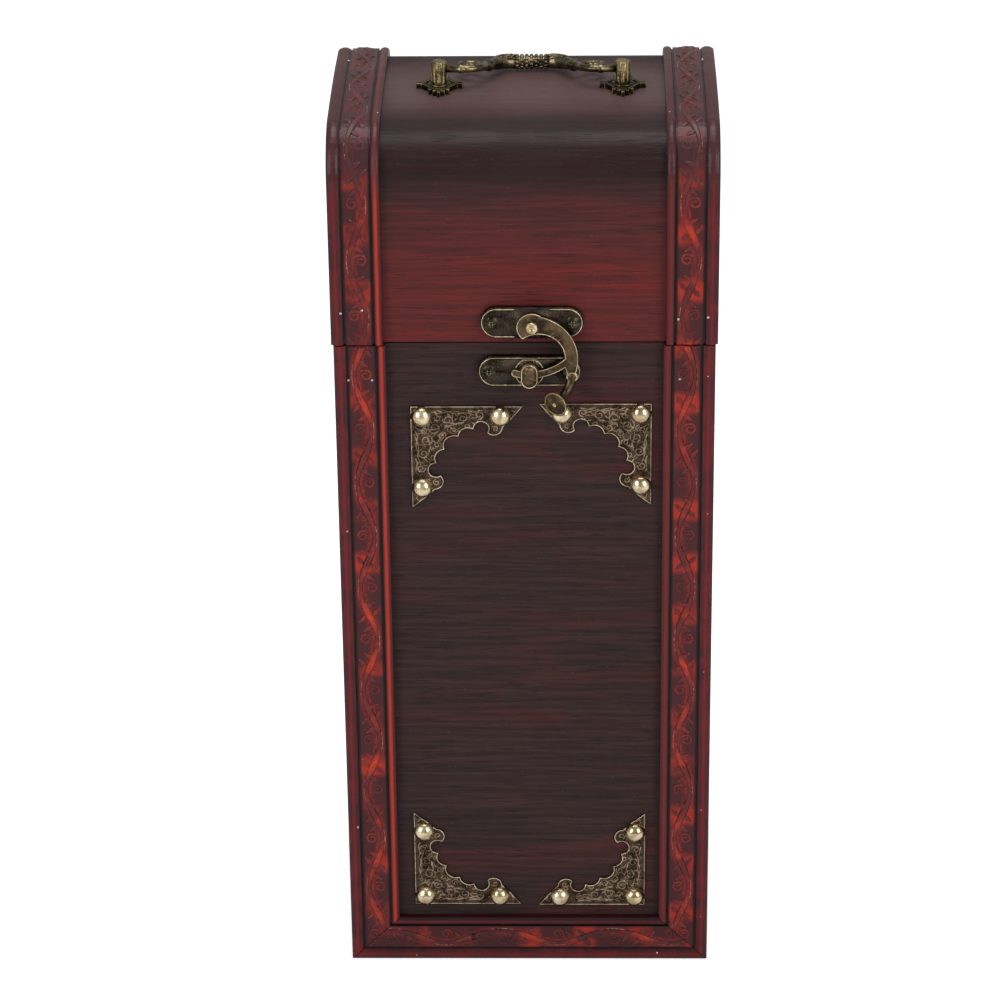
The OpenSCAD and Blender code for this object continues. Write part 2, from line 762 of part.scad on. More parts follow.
// Fluted post with a cross bore for the bail and a threaded tail through the lid
module handle_post(side) {
    tail = rosette_t + lid_board_t + nut_h + 0.8;
    color(brass) translate([handle_x + side * post_x, mid_y, lid_top_z + rosette_t]) difference() {
        union() {
            cylinder(r = post_r, h = post_h - 0.5);
            translate([0, 0, post_h - 0.5 - eps]) cylinder(r1 = post_r, r2 = post_r - 0.5, h = 0.5 + eps);
            translate([0, 0, -tail]) cylinder(r = stud_r, h = tail + eps);
        }
        for (i = [0:flutes - 1])
            rotate([0, 0, (i + 0.5) * 360 / flutes]) translate([post_r + 0.45, 0, 1])
                cylinder(r = 0.8, h = post_h, $fn = 24);
        translate([0, 0, bail_pivot_h]) rotate([0, -side * 90, 0]) translate([0, 0, -pin_len + post_r - 0.2])
            cylinder(r = bail_pin_r + running_fit, h = pin_len + 1);
    }
}

module handle_nuts() {
    color(steel) for (side = [-1, 1])
        translate([handle_x + side * post_x, mid_y, lid_top_z - lid_board_t - nut_drop - nut_h])
            difference() {
                cylinder(r = nut_r, h = nut_h, $fn = 6);
                translate([0, 0, -1]) cylinder(r = stud_r + seat_fit, h = nut_h + 2);
            }
}

// Tube bent in the bail's plane about a centre
module bent_tube(centre, r, tube_r, from, to) {
    translate([centre[0], centre[1], 0]) rotate([0, 0, from])
        rotate_extrude(angle = to - from) translate([r, 0]) circle(tube_r);
}

// Straight rod in the bail's plane, tapering from one radius to another
module rod(a, b, r1, r2) {
    d = b - a;
    translate([a[0], a[1], 0]) rotate([0, 0, atan2(d[1], d[0])]) rotate([0, 90, 0])
        cylinder(r1 = r1, r2 = r2, h = norm(d));
}

// Right half of the bail in its own plane: X along the pivot, Y towards the grip
module bail_half() {
    along = [-cos(bend_a), sin(bend_a)];
    knuckle_at = bend_end + along * run_l * 0.45;
    sleeve_at = bend_end + along * run_l;
    scroll_at = knuckle_at + [7, 1.8];
    scroll_from = scroll_at + scroll_r * [cos(160), sin(160)];
    scroll_end = scroll_at + scroll_r * [cos(-100), sin(-100)];
    rod([pin_tip_x, 0], [bend_x, 0], bail_pin_r, bail_pin_r);
    ball([bend_x, 0], 0, arm_r + collar);
    bent_tube([bend_x, bend_r], bend_r, arm_r, 270 - bend_a, 270);
    ball(bend_end, -bend_a, arm_r + collar);
    rod(bend_end, knuckle_at, arm_r, arm_r);
    ball(knuckle_at, -bend_a, 2.3);
    rod(knuckle_at, sleeve_at, 1.9, sleeve_r - collar);
    ball(sleeve_at, -bend_a, sleeve_r + collar);
    bent_tube([barrel_half, bail_reach - sleeve_bend_r], sleeve_bend_r, sleeve_r, 90 - bend_a, 90);
    rod(knuckle_at, scroll_from, scroll_tube_r, scroll_tube_r);
    ball(scroll_from, 70, scroll_tube_r + collar);
    bent_tube(scroll_at, scroll_r, scroll_tube_r, -100, 160);
    // Eye of the scroll
    translate([scroll_end[0], scroll_end[1], -scroll_tube_r - 0.15])
        cylinder(r = scroll_tube_r + 0.55, h = 2 * scroll_tube_r + 0.3);
}

// Ball in the bail's plane, with its poles along a direction so that they lie inside the rods
module ball(p, a, r) {
    translate([p[0], p[1], 0]) rotate([0, 0, a]) rotate([0, 90, 0]) sphere(r);
}

module handle_bail() {
    ring = 2 * barrel_half / bead_rings;
    core = barrel_half + 1;
    color(brass) translate([handle_x, mid_y, pivot_z]) rotate([-bail_rest_a, 0, 0]) union() {
        bail_half();
        mirror([1, 0, 0]) bail_half();
        translate([0, bail_reach, 0]) rotate([0, 90, 0]) {
            translate([0, 0, -core]) cylinder(r = grip_r - 0.7, h = 2 * core);
            for (i = [0:bead_rings - 1])
                translate([0, 0, (i + 0.5) * ring - barrel_half])
                    rotate_extrude() translate([grip_r - ring / 2, 0]) circle(d = ring - 0.06);
        }
    }
}

base_board();
front_panel();
back_panel();
side_panel(-1);  // left_side_panel
side_panel(1);  // right_side_panel
stile();  // front_left_stile
mirror([1, 0, 0]) stile();  // front_right_stile
bottom_rail();  // front_bottom_rail
bracket(0);  // bracket_upper_left
bracket(1);  // bracket_upper_right
bracket(2);  // bracket_lower_left
bracket(3);  // bracket_lower_right
bracket_nails();
catch_plate();
latch_screws(catch_x, catch_plate_z, steel);  // catch_screws
hinge_leaf(-1, -1);  // left_hinge_body_leaf
hinge_leaf(1, -1);  // right_hinge_body_leaf
hinge_screws(-1);  // hinge_body_screws
hinge_pin(-1);  // left_hinge_pin
hinge_pin(1);  // right_hinge_pin
lid_shell();
lid_end(-1);  // lid_left_end
lid_end(1);  // lid_right_end
lid_band();  // lid_left_band
mirror([1, 0, 0]) lid_band();  // lid_right_band
hook_plate();
latch_screws(latch_x, hook_plate_z, steel);  // hook_plate_screws
hook_rivet();
hinge_leaf(-1, 1);  // left_hinge_lid_leaf
hinge_leaf(1, 1);  // right_hinge_lid_leaf
hinge_screws(1);  // hinge_lid_screws
rosette(-1);  // left_handle_rosette
rosette(1);  // right_handle_rosette
handle_post(-1);  // left_handle_post
handle_post(1);  // right_handle_post
handle_nuts();
swing_hook();
handle_bail();
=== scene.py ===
"""Looks of an upright wooden wine box.

Stained boards, embossed mouldings, stamped brass corners, a swing-hook latch and a drop handle.
"""

import logging
import math
import random
from collections.abc import Callable, Iterator
from contextlib import contextmanager
from dataclasses import dataclass, field
from enum import Enum

import bpy
from mathutils import Matrix, Vector


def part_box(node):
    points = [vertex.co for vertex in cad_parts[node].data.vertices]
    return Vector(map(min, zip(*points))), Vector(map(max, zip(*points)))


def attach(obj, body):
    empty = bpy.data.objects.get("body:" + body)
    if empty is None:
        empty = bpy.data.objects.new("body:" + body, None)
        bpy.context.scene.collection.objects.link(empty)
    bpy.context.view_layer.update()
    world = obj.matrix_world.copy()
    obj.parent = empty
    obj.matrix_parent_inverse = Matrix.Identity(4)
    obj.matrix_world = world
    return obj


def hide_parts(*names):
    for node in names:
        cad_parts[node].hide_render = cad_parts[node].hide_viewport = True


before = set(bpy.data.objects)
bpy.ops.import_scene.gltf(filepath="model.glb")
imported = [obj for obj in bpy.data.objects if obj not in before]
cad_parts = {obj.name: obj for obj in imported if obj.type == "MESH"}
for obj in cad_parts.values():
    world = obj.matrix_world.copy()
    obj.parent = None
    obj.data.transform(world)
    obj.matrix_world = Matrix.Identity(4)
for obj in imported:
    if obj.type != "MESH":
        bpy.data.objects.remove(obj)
LOG = logging.getLogger("wine_box")
MM = 0.001
FULL_TURN = 2 * math.pi
FACES_FRONT = -0.98
Spots = list[tuple[float, float]]


class Body(Enum):
    """Moving bodies of the box."""

    CASE = "case"
    LID = "lid"
    HOOK = "hook"
    HANDLE = "handle"


class Slot(Enum):
    """Names of material slots, passed along with new pieces."""

    MOULDING = "moulding"
    BRASS = "antique_brass"
    BRIGHT = "bright_brass"
    SCREWS = "screws"


# ---------------------------------------------------------------------------
# Modelling tools
# ---------------------------------------------------------------------------


def deselect() -> None:
    """Leaves edit mode and deselects every object."""
    if bpy.context.object is not None and bpy.context.object.mode != "OBJECT":
        bpy.ops.object.mode_set(mode="OBJECT")
    bpy.ops.object.select_all(action="DESELECT")


def pick(*pieces: bpy.types.Object) -> None:
    """Selects these objects alone and makes the first one active."""
    deselect()
    for piece in pieces:
        piece.select_set(True)
    bpy.context.view_layer.objects.active = pieces[0]


@contextmanager
def editing(piece: bpy.types.Object, select: str = "SELECT") -> Iterator[None]:
    """Opens a piece in edit mode for as long as a with block lasts.

    Args:
        piece: The mesh to open.
        select: SELECT for all of it, DESELECT for none, or KEEP for what is selected already.

    Yields:
        Nothing.
    """
    pick(piece)
    bpy.ops.object.mode_set(mode="EDIT")
    if select != "KEEP":
        bpy.ops.mesh.select_mode(type="VERT")
        bpy.ops.mesh.select_all(action=select)
    yield
    bpy.ops.object.mode_set(mode="OBJECT")


def settle(piece: bpy.types.Object) -> bpy.types.Object:
    """Applies a piece's place, turn and scale to its mesh, so that its object sits at the origin."""
    pick(piece)
    bpy.ops.object.transform_apply(location=True, rotation=True, scale=True)
    return piece


def named(piece: bpy.types.Object, name: str) -> bpy.types.Object:
    """Gives a piece and its mesh a name."""
    piece.name = name
    piece.data.name = name
    return piece


def copy_of(piece: bpy.types.Object, name: str) -> bpy.types.Object:
    """Copies a piece with its own mesh, and without its rig_ properties.

    Args:
        piece: The piece to copy.
        name: The name of the copy.

    Returns:
        The copy.
    """
    twin = piece.copy()
    twin.data = piece.data.copy()
    twin.parent = None
    for key in [key for key in twin.keys() if key.startswith("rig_")]:
        del twin[key]
    bpy.context.scene.collection.objects.link(twin)
    twin.hide_render = twin.hide_viewport = False
    return named(twin, name)


def joined(pieces: list[bpy.types.Object], name: str) -> bpy.types.Object:
    """Joins several meshes into one.

    Args:
        pieces: The meshes to join.
        name: The name of what they become.

    Returns:
        The joined mesh.
    """
    pick(*pieces)
    if len(pieces) > 1:
        bpy.ops.object.join()
    return named(bpy.context.object, name)


def outward(piece: bpy.types.Object) -> bpy.types.Object:
    """Merges a closed piece's doubles and points its faces outwards."""
    with editing(piece):
        bpy.ops.mesh.remove_doubles(threshold=1e-6)
        bpy.ops.mesh.normals_make_consistent(inside=False)
    return piece


def smooth(piece: bpy.types.Object, angle: float = 35.0) -> bpy.types.Object:
    """Shades a piece smooth except over edges sharper than an angle in degrees."""
    pick(piece)
    bpy.ops.object.shade_smooth_by_angle(angle=math.radians(angle))
    return piece


def moved(piece: bpy.types.Object, matrix: Matrix) -> bpy.types.Object:
    """Carries a piece to its place by a matrix and applies it to the mesh."""
    piece.matrix_world = matrix @ piece.matrix_world
    return settle(piece)


def discard(piece: bpy.types.Object) -> None:
    """Deletes a pattern that has been copied."""
    pick(piece)
    bpy.ops.object.delete()


def cut(piece: bpy.types.Object, place: Vector, normal: Vector, threshold: float = 1e-4) -> None:
    """Cuts away what lies past a plane and closes the cut.

    Args:
        piece: The closed mesh to cut.
        place: A point of the plane.
        normal: The plane's direction, towards what goes.
        threshold: How near a vertex counts as on the plane, in metres.
    """
    with editing(piece):
        bpy.ops.mesh.bisect(
            plane_co=place, plane_no=normal, use_fill=True, clear_outer=True, threshold=threshold
        )


def tube(points: list[Vector], radii: list[float], name: str, sides: int) -> bpy.types.Object:
    """Draws a round tube with closed ends through points.

    Args:
        points: The points of its middle line, in metres.
        radii: Its radius at each point, in metres.
        name: The name of the piece.
        sides: Resolution of its section, which has 4 + 2 * sides corners.

    Returns:
        The tube as a mesh.
    """
    deselect()
    bpy.ops.curve.primitive_bezier_curve_add()
    piece = bpy.context.object
    curve = piece.data
    curve.splines.clear()
    curve.dimensions = "3D"
    spline = curve.splines.new("POLY")
    spline.points.add(len(points) - 1)
    for node, place, radius in zip(spline.points, points, radii):
        node.co = (*place, 1.0)
        node.radius = radius / MM
    curve.bevel_depth = MM
    curve.bevel_resolution = sides
    curve.resolution_u = curve.render_resolution_u = 1
    curve.use_fill_caps = True
    curve.twist_mode = "MINIMUM"
    bpy.ops.object.convert(target="MESH")
    piece = bpy.context.object
    pick(piece)
    bpy.ops.object.shade_smooth()
    return outward(named(piece, name))


def stroke(
    places: Spots, radii: list[float], squash: float = 1.0, name: str = "stroke", sides: int = 1
) -> bpy.types.Object:
    """Draws a tube that lies in the plane Z = 0.

    Args:
        places: The X and Y of its middle line, in millimetres.
        radii: Its radius at each place, in millimetres.
        squash: Its height as a share of its width.
        name: The name of the piece.
        sides: Resolution of its section.

    Returns:
        The tube.
    """
    piece = tube([Vector((x * MM, y * MM, 0)) for x, y in places], [r * MM for r in radii], name, sides)
    if squash < 1.0:
        with editing(piece):
            bpy.ops.transform.resize(value=(1, 1, squash))
    return piece


def spiral(
    centre: tuple[float, float], radius: float, start: float, turns: float, shrink: float, count: int
) -> Spots:
    """Finds places along a spiral that winds in.

    Args:
        centre: Its centre, in millimetres.
        radius: Its radius at its start, in millimetres.
        start: Angle of its start, in degrees.
        turns: How many turns it makes, below 0 for clockwise.
        shrink: Share of the radius that is gone by its end.
        count: How many steps it has.

    Returns:
        The places, one more than the steps.
    """
    places = []
    for i in range(count + 1):
        t = i / count
        angle = math.radians(start) + FULL_TURN * turns * t
        reach = radius * (1 - shrink * t)
        places.append((centre[0] + reach * math.cos(angle), centre[1] + reach * math.sin(angle)))
    return places


def painted(piece: bpy.types.Object, *finishes: "Finish") -> bpy.types.Object:
    """Gives a piece its finishes.

    Args:
        piece: The piece.
        *finishes: One finish for all of it, or one for each of its material slots.

    Returns:
        The same piece.
    """
    slots = piece.data.materials
    if len(finishes) == 1:
        slots.clear()
    for i, finish in enumerate(finishes):
        if i == len(slots):
            slots.append(None)
        slots[i] = finish.build()
    return piece


def placed(piece: bpy.types.Object, body: Body, slot: Slot, *finishes: "Finish") -> None:
    """Finishes a piece, lets it ride on its body and reports it.

    Args:
        piece: The piece.
        body: What it rides on.
        slot: Not used.
        *finishes: One finish for all of it, or one for each of its material slots.
    """
    painted(piece, *finishes)
    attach(piece, body.value)
    LOG.info("%s: %d faces, rides on %s", piece.name, len(piece.data.polygons), body.value)


def blank_slots(piece: bpy.types.Object, count: int, index: int = 0) -> None:
    """Gives a piece empty material slots alone, and its faces one of them.

    Args:
        piece: The piece.
        count: How many slots it gets.
        index: The slot that all its faces take.
    """
    piece.data.materials.clear()
    for _ in range(count):
        piece.data.materials.append(None)
    for face in piece.data.polygons:
        face.material_index = index


def refined(
    node: str, ending: str, width: float, body: Body, slot: Slot, finishes: tuple["Finish", "Finish"],
    segments: int = 2,
) -> None:
    """Builds a metal piece from its CAD node, with rolled edges of rubbed metal, and places it.

    Args:
        node: The CAD node to copy and stand for.
        ending: What the new piece's name adds to the node's.
        width: Width of the rolled edges, in millimetres.
        body: What it rides on.
        slot: Its material slot, passed on to placed.
        finishes: The finish of its faces and that of its rolled edges.
        segments: Rows of faces across a rolled edge.
    """
    piece = copy_of(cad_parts[node], node + ending)
    blank_slots(piece, 2)
    with editing(piece):
        bpy.ops.mesh.remove_doubles(threshold=2e-6)
        bpy.ops.mesh.dissolve_limited(angle_limit=math.radians(0.6))
    for face in piece.data.polygons:
        face.material_index = 0
    roll = piece.modifiers.new("rolled_edges", "BEVEL")
    roll.width = width * MM
    roll.segments = segments
    roll.limit_method = "ANGLE"
    roll.angle_limit = math.radians(38.0)
    roll.material = 1
    roll.use_clamp_overlap = True
    pick(piece)
    bpy.ops.object.modifier_apply(modifier=roll.name)
    smooth(piece, 30.0)
    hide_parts(node)
    placed(piece, body, slot, *finishes)


def front_planes(piece: bpy.types.Object, count: int) -> list[float]:
    """Finds the planes that face the front and hold the most area.

    Args:
        piece: The mesh to look at.
        count: How many planes are wanted.

    Returns:
        The Y of each plane, the largest first.
    """
    areas: dict[float, float] = {}
    for face in piece.data.polygons:
        if face.normal.y < FACES_FRONT:
            key = round(face.center.y, 5)
            areas[key] = areas.get(key, 0.0) + face.area
    return sorted(areas, key=areas.get, reverse=True)[:count]


def rim_wire(piece: bpy.types.Object, height: float, radius: float, bare: float) -> bpy.types.Object:
    """Makes the round rim about one front plane of a piece.

    Args:
        piece: The flat piece, with its doubles merged.
        height: The plane's Y, in metres.
        radius: Half the width of the rim, in metres.
        bare: Half the width about its middle where upright edges get none, in metres.

    Returns:
        The rim, whose faces take the second of its two material slots.
    """
    pattern = copy_of(piece, "rim_pattern")
    with editing(pattern, "DESELECT"):
        bpy.ops.mesh.select_mode(type="FACE")
    for face in pattern.data.polygons:
        if face.normal.y < FACES_FRONT and abs(face.center.y - height) < 1.5e-5:
            face.select = True
    with editing(pattern, "KEEP"):
        bpy.ops.mesh.region_to_loop()
    places = [vertex.co for vertex in pattern.data.vertices]
    middle = sum(place.x for place in places) / len(places)
    for edge in pattern.data.edges:
        a, b = (places[i] for i in edge.vertices)
        if abs(a.x - b.x) < 2e-5 and abs(a.x - middle) < bare:
            edge.select = False
    with editing(pattern, "KEEP"):
        bpy.ops.mesh.select_mode(type="EDGE")
        bpy.ops.mesh.select_all(action="INVERT")
        bpy.ops.mesh.delete(type="EDGE")
        bpy.ops.mesh.select_all(action="SELECT")
        bpy.ops.mesh.remove_doubles(threshold=8e-5)
    pick(pattern)
    bpy.ops.object.convert(target="CURVE")
    curve = bpy.context.object.data
    curve.bevel_depth = radius
    curve.bevel_resolution = 1
    bpy.ops.object.convert(target="MESH")
    rim = bpy.context.object
    blank_slots(rim, 2, 1)
    pick(rim)
    bpy.ops.object.shade_smooth()
    return rim


def with_rims(node: str, name: str, radius: float, planes: int = 1, bare: float = 0.0) -> bpy.types.Object:
    """Copies a flat metal CAD node and lays a rubbed rim round its front faces.

    Args:
        node: The CAD node to copy and stand for.
        name: The name of the new piece.
        radius: Half the width of the rim, in millimetres.
        planes: How many of its front planes get a rim.
        bare: Half the width about its middle where upright edges get none, in millimetres.

    Returns:
        The new piece; its first material slot is the plate, its second one the rim.
    """
    piece = copy_of(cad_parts[node], name)
    blank_slots(piece, 2)
    with editing(piece):
        bpy.ops.mesh.remove_doubles(threshold=1e-5)
    rims = [rim_wire(piece, height, radius * MM, bare * MM) for height in front_planes(piece, planes)]
    smooth(piece, 30.0)
    indices = [face.material_index for part in (piece, *rims) for face in part.data.polygons]
    piece = joined([piece, *rims], name)
    for face, index in zip(piece.data.polygons, indices):
        face.material_index = index
    while len(piece.data.materials) > 2:
        piece.data.materials.pop()
    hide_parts(node)
    return piece


# ---------------------------------------------------------------------------
# Shader patterns and finishes
# ---------------------------------------------------------------------------


def colour(code: str) -> tuple[float, float, float, float]:
    """Turns a colour such as 6b2326 into the linear numbers that shaders use."""
    parts = [int(code[i:i + 2], 16) / 255 for i in (0, 2, 4)]
    return tuple((c / 12.92 if c <= 0.04045 else ((c + 0.055) / 1.055) ** 2.4) for c in parts) + (1.0,)


@dataclass(frozen=True)
class Section:
    """Section of the embossed moulding and the run of its vine, in millimetres."""

    width: float = 19.0
    outer: float = 4.8
    inner: float = 3.1
    groove: float = 0.6
    pitch: float = 44.0
    swing: float = 2.9


SECTION = Section()


class Pattern(Enum):
    """Effects that several finishes share, each one a node group."""

    GRAIN = "Grain"
    PATINA = "Patina"
    DUST = "Dust"
    MOULDING_ZONES = "MouldingZones"


class Wiring:
    """Adds and links the nodes of one node tree."""

    def __init__(self, tree: bpy.types.NodeTree) -> None:
        """Starts on a tree.

        Args:
            tree: The node tree of a material or a group.
        """
        self.tree = tree

    def add(self, kind: str, **settings: object) -> bpy.types.Node:
        """Adds a node and sets its properties."""
        node = self.tree.nodes.new(kind)
        for key, value in settings.items():
            setattr(node, key, value)
        return node

    def put(self, socket: bpy.types.NodeSocket, value: object) -> None:
        """Links a socket to another one, or sets it to a number or colour."""
        if isinstance(value, bpy.types.NodeSocket):
            self.tree.links.new(value, socket)
        else:
            socket.default_value = value

    def fill(self, node: bpy.types.Node, **values: object) -> bpy.types.NodeOutputs:
        """Sets or links a node's inputs.

        Args:
            node: The node.
            **values: Its inputs, with _ for each space in their names.

        Returns:
            The node's outputs.
        """
        for key, value in values.items():
            self.put(node.inputs[key.replace("_", " ")], value)
        return node.outputs

    def sum(self, kind: str, a: object, b: object = 0.0) -> bpy.types.NodeSocket:
        """Adds a Math node of a kind.

        Args:
            kind: The operation's name.
            a: Its first number or socket.
            b: Its second number or socket.

        Returns:
            The node's value.
        """
        node = self.add("ShaderNodeMath", operation=kind)
        self.put(node.inputs[0], a)
        self.put(node.inputs[1], b)
        return node.outputs[0]

    def times(self, a: object, b: object) -> bpy.types.NodeSocket:
        """Returns a product."""
        return self.sum("MULTIPLY", a, b)

    def plus(self, a: object, b: object) -> bpy.types.NodeSocket:
        """Returns a sum."""
        return self.sum("ADD", a, b)

    def minus(self, a: object, b: object) -> bpy.types.NodeSocket:
        """Returns a difference."""
        return self.sum("SUBTRACT", a, b)

    def apart(self, a: object, b: object) -> bpy.types.NodeSocket:
        """Returns how far two numbers are apart."""
        return self.sum("ABSOLUTE", self.minus(a, b))

    def step(self, value: object, low: float, high: float) -> bpy.types.NodeSocket:
        """Makes a smooth rise from 0 at low to 1 at high, or a fall where low is the larger.

        Args:
            value: The number that it follows.
            low: Where it is 0.
            high: Where it is 1.

        Returns:
            The number from 0 to 1.
        """
        node = self.add("ShaderNodeMapRange", interpolation_type="SMOOTHSTEP")
        start = 0.0 if low < high else 1.0
        first, last = sorted((low, high))
        self.fill(node, Value=value, From_Min=first, From_Max=last, To_Min=start, To_Max=1.0 - start)
        return node.outputs[0]

    def mix(self, amount: object, a: object, b: object) -> bpy.types.NodeSocket:
        """Mixes two colours.

        Args:
            amount: Share of the second one.
            a: The first colour.
            b: The second colour.

        Returns:
            The mixed colour.
        """
        node = self.add("ShaderNodeMix", data_type="RGBA")
        for place, value in ((0, amount), (6, a), (7, b)):
            self.put(node.inputs[place], value)
        return node.outputs[2]

    def over(self, tone: object, code: str, mask: object, share: float = 1.0) -> bpy.types.NodeSocket:
        """Lays a colour over a tone.

        Args:
            tone: The tone under it.
            code: The colour, such as 6b2326.
            mask: Where it lies.
            share: How much of it shows there.

        Returns:
            The new tone.
        """
        return self.mix(mask if share == 1.0 else self.times(mask, share), tone, colour(code))

    def noise(
        self, vector: object, scale: float, detail: float = 3.0, rough: float = 0.5, twist: float = 0.0
    ) -> bpy.types.NodeSocket:
        """Adds a noise texture.

        Args:
            vector: Its coordinates.
            scale: How many cells it has to a metre.
            detail: How many finer layers it has.
            rough: Strength of the finer layers.
            twist: How much it is distorted.

        Returns:
            Its value.
        """
        node = self.add("ShaderNodeTexNoise")
        self.fill(node, Vector=vector, Scale=scale, Detail=detail, Roughness=rough, Distortion=twist)
        return node.outputs[0]

    def stretched(
        self, vector: object, scale: tuple[float, float, float], turn: tuple[float, float, float] = (0, 0, 0)
    ) -> bpy.types.NodeSocket:
        """Scales coordinates along each axis and turns them, and returns the result."""
        return self.fill(self.add("ShaderNodeMapping"), Vector=vector, Scale=scale, Rotation=turn)[0]

    def split(self, vector: object) -> tuple[bpy.types.NodeSocket, ...]:
        """Returns the three parts of a vector."""
        return tuple(self.fill(self.add("ShaderNodeSeparateXYZ"), Vector=vector))


class PatternBook:
    """Builds each shared pattern once and places it in materials."""

    def __init__(self) -> None:
        """Starts with no pattern built."""
        self.built: dict[Pattern, bpy.types.NodeTree] = {}

    def place(self, wiring: Wiring, pattern: Pattern, **values: object) -> bpy.types.NodeOutputs:
        """Places a pattern in a material.

        Args:
            wiring: The material's tree.
            pattern: Which pattern.
            **values: Its inputs, with _ for each space in their names.

        Returns:
            The group node's outputs.
        """
        if pattern not in self.built:
            self.built[pattern] = getattr(self, "_" + pattern.name.lower())()
        return wiring.fill(wiring.add("ShaderNodeGroup", node_tree=self.built[pattern]), **values)

    def _start(
        self, name: str, inputs: dict[str, object], outputs: tuple[str, ...]
    ) -> tuple[Wiring, bpy.types.NodeOutputs, bpy.types.NodeInputs]:
        """Makes an empty group.

        Args:
            name: The group's name.
            inputs: Each input's name with its default number, or the word vector.
            outputs: The name of each output, which are all numbers.

        Returns:
            Its wiring, the sockets that bring its inputs and those that take its outputs.
        """
        tree = bpy.data.node_groups.new(name, "ShaderNodeTree")
        for key, value in inputs.items():
            kind = "NodeSocketVector" if value == "vector" else "NodeSocketFloat"
            socket = tree.interface.new_socket(name=key, in_out="INPUT", socket_type=kind)
            if value != "vector":
                socket.default_value = value
        for key in outputs:
            tree.interface.new_socket(name=key, in_out="OUTPUT", socket_type="NodeSocketFloat")
        wiring = Wiring(tree)
        return wiring, wiring.add("NodeGroupInput").outputs, wiring.add("NodeGroupOutput").inputs

    def _grain(self) -> bpy.types.NodeTree:
        """Wood grain that runs along X: streaks, short dark pores and broad blotches."""
        names = ("Streak", "Pore", "Blotch", "Height")
        w, given, out = self._start("Grain", {"Vector": "vector", "Figure": 1.0}, names)
        vector = given["Vector"]
        wavy = w.noise(w.stretched(vector, (12, 30, 30)), 1.0, 2.0)
        bent = w.add("ShaderNodeVectorMath", operation="MULTIPLY_ADD")
        for socket, value in zip(bent.inputs, (wavy, (0.0, 0.0024, 0.0024), vector)):
            w.put(socket, value)
        streak = w.noise(w.stretched(bent.outputs[0], (22, 620, 620)), 1.0, 6.0, 0.62)
        fine = w.noise(w.stretched(bent.outputs[0], (95, 2300, 2300)), 1.0, 3.0, 0.6)
        blotch = w.noise(w.stretched(vector, (14, 46, 46)), 1.0, 4.0, 0.55, 0.6)
        w.put(out["Streak"], w.step(streak, 0.36, 0.66))
        w.put(out["Pore"], w.times(w.step(fine, 0.56, 0.68), given["Figure"]))
        w.put(out["Blotch"], w.step(blotch, 0.38, 0.68))
        w.put(out["Height"], w.minus(w.times(streak, 0.6), w.times(w.step(fine, 0.55, 0.7), 0.5)))
        return w.tree

    def _patina(self) -> bpy.types.NodeTree:
        """Darkened metal: broad tarnish, fine specks and a hammered height."""
        names = ("Tarnish", "Speck", "Height")
        w, given, out = self._start("Patina", {"Vector": "vector", "Size": 1.0}, names)
        scaled = w.add("ShaderNodeVectorMath", operation="SCALE")
        w.put(scaled.inputs[0], given["Vector"])
        w.put(scaled.inputs["Scale"], given["Size"])
        broad = w.noise(scaled.outputs[0], 260.0, 4.0, 0.6)
        small = w.noise(scaled.outputs[0], 1500.0, 3.0, 0.6)
        w.put(out["Tarnish"], w.step(broad, 0.4, 0.62))
        w.put(out["Speck"], w.step(small, 0.55, 0.66))
        w.put(out["Height"], w.plus(w.times(broad, 0.6), w.times(small, 0.4)))
        return w.tree

    def _dust(self) -> bpy.types.NodeTree:
        """Fine pale dust and rubbed spots on a varnish."""
        w, given, out = self._start("Dust", {"Vector": "vector", "Amount": 0.2}, ("Mask", "Dull"))
        spots = w.noise(given["Vector"], 900.0, 2.0, 0.5)
        cloud = w.noise(given["Vector"], 38.0, 4.0, 0.6)
        w.put(out["Mask"], w.times(w.step(spots, 0.68, 0.78), given["Amount"]))
        w.put(out["Dull"], w.step(cloud, 0.35, 0.7))
        return w.tree

    def _moulding_zones(self) -> bpy.types.NodeTree:
        """Masks over an embossed moulding, from the millimetres across it and along it."""
        w, given, out = self._start(
            "MouldingZones",
            {
                "Across": 0.0, "Along": 0.0, "Width": SECTION.width, "Outer": SECTION.outer,
                "Inner": SECTION.inner, "Groove": SECTION.groove, "Pitch": SECTION.pitch,
            },
            ("Groove Shade", "Inner Bead", "Outer Bead", "Stem", "Crest Highlight", "Crossing"),
        )
        across, outer, groove = given["Across"], given["Outer"], given["Groove"]
        inner_from = w.minus(given["Width"], given["Inner"])
        half = w.times(groove, 0.5)
        near_outer = w.apart(across, w.plus(outer, half))
        near_inner = w.apart(across, w.minus(inner_from, half))
        # Where the grooves get painted shade.
        w.put(out["Groove Shade"], w.step(w.sum("MINIMUM", near_outer, near_inner), 1.1, 0.3))
        w.put(out["Inner Bead"], w.sum("GREATER_THAN", across, inner_from))
        w.put(out["Outer Bead"], w.sum("LESS_THAN", across, outer))
        middle = w.times(w.plus(w.plus(outer, groove), w.minus(inner_from, groove)), 0.5)
        wave = w.sum("SINE", w.times(w.sum("DIVIDE", given["Along"], given["Pitch"]), FULL_TURN))
        stem = w.apart(w.minus(across, middle), w.times(wave, SECTION.swing))
        w.put(out["Stem"], w.step(stem, 3.4, 0.8))
        w.put(out["Crossing"], w.step(w.times(wave, wave), 0.55, 0.0))
        # Where the bead crests get a painted highlight.
        inner_crest_highlight = w.apart(across, w.minus(given["Width"], w.times(given["Inner"], 0.5)))
        outer_crest_highlight = w.apart(across, w.times(outer, 0.5))
        w.put(out["Crest Highlight"], w.step(w.sum("MINIMUM", inner_crest_highlight, outer_crest_highlight), 1.0, 0.1))
        return w.tree


PATTERNS = PatternBook()


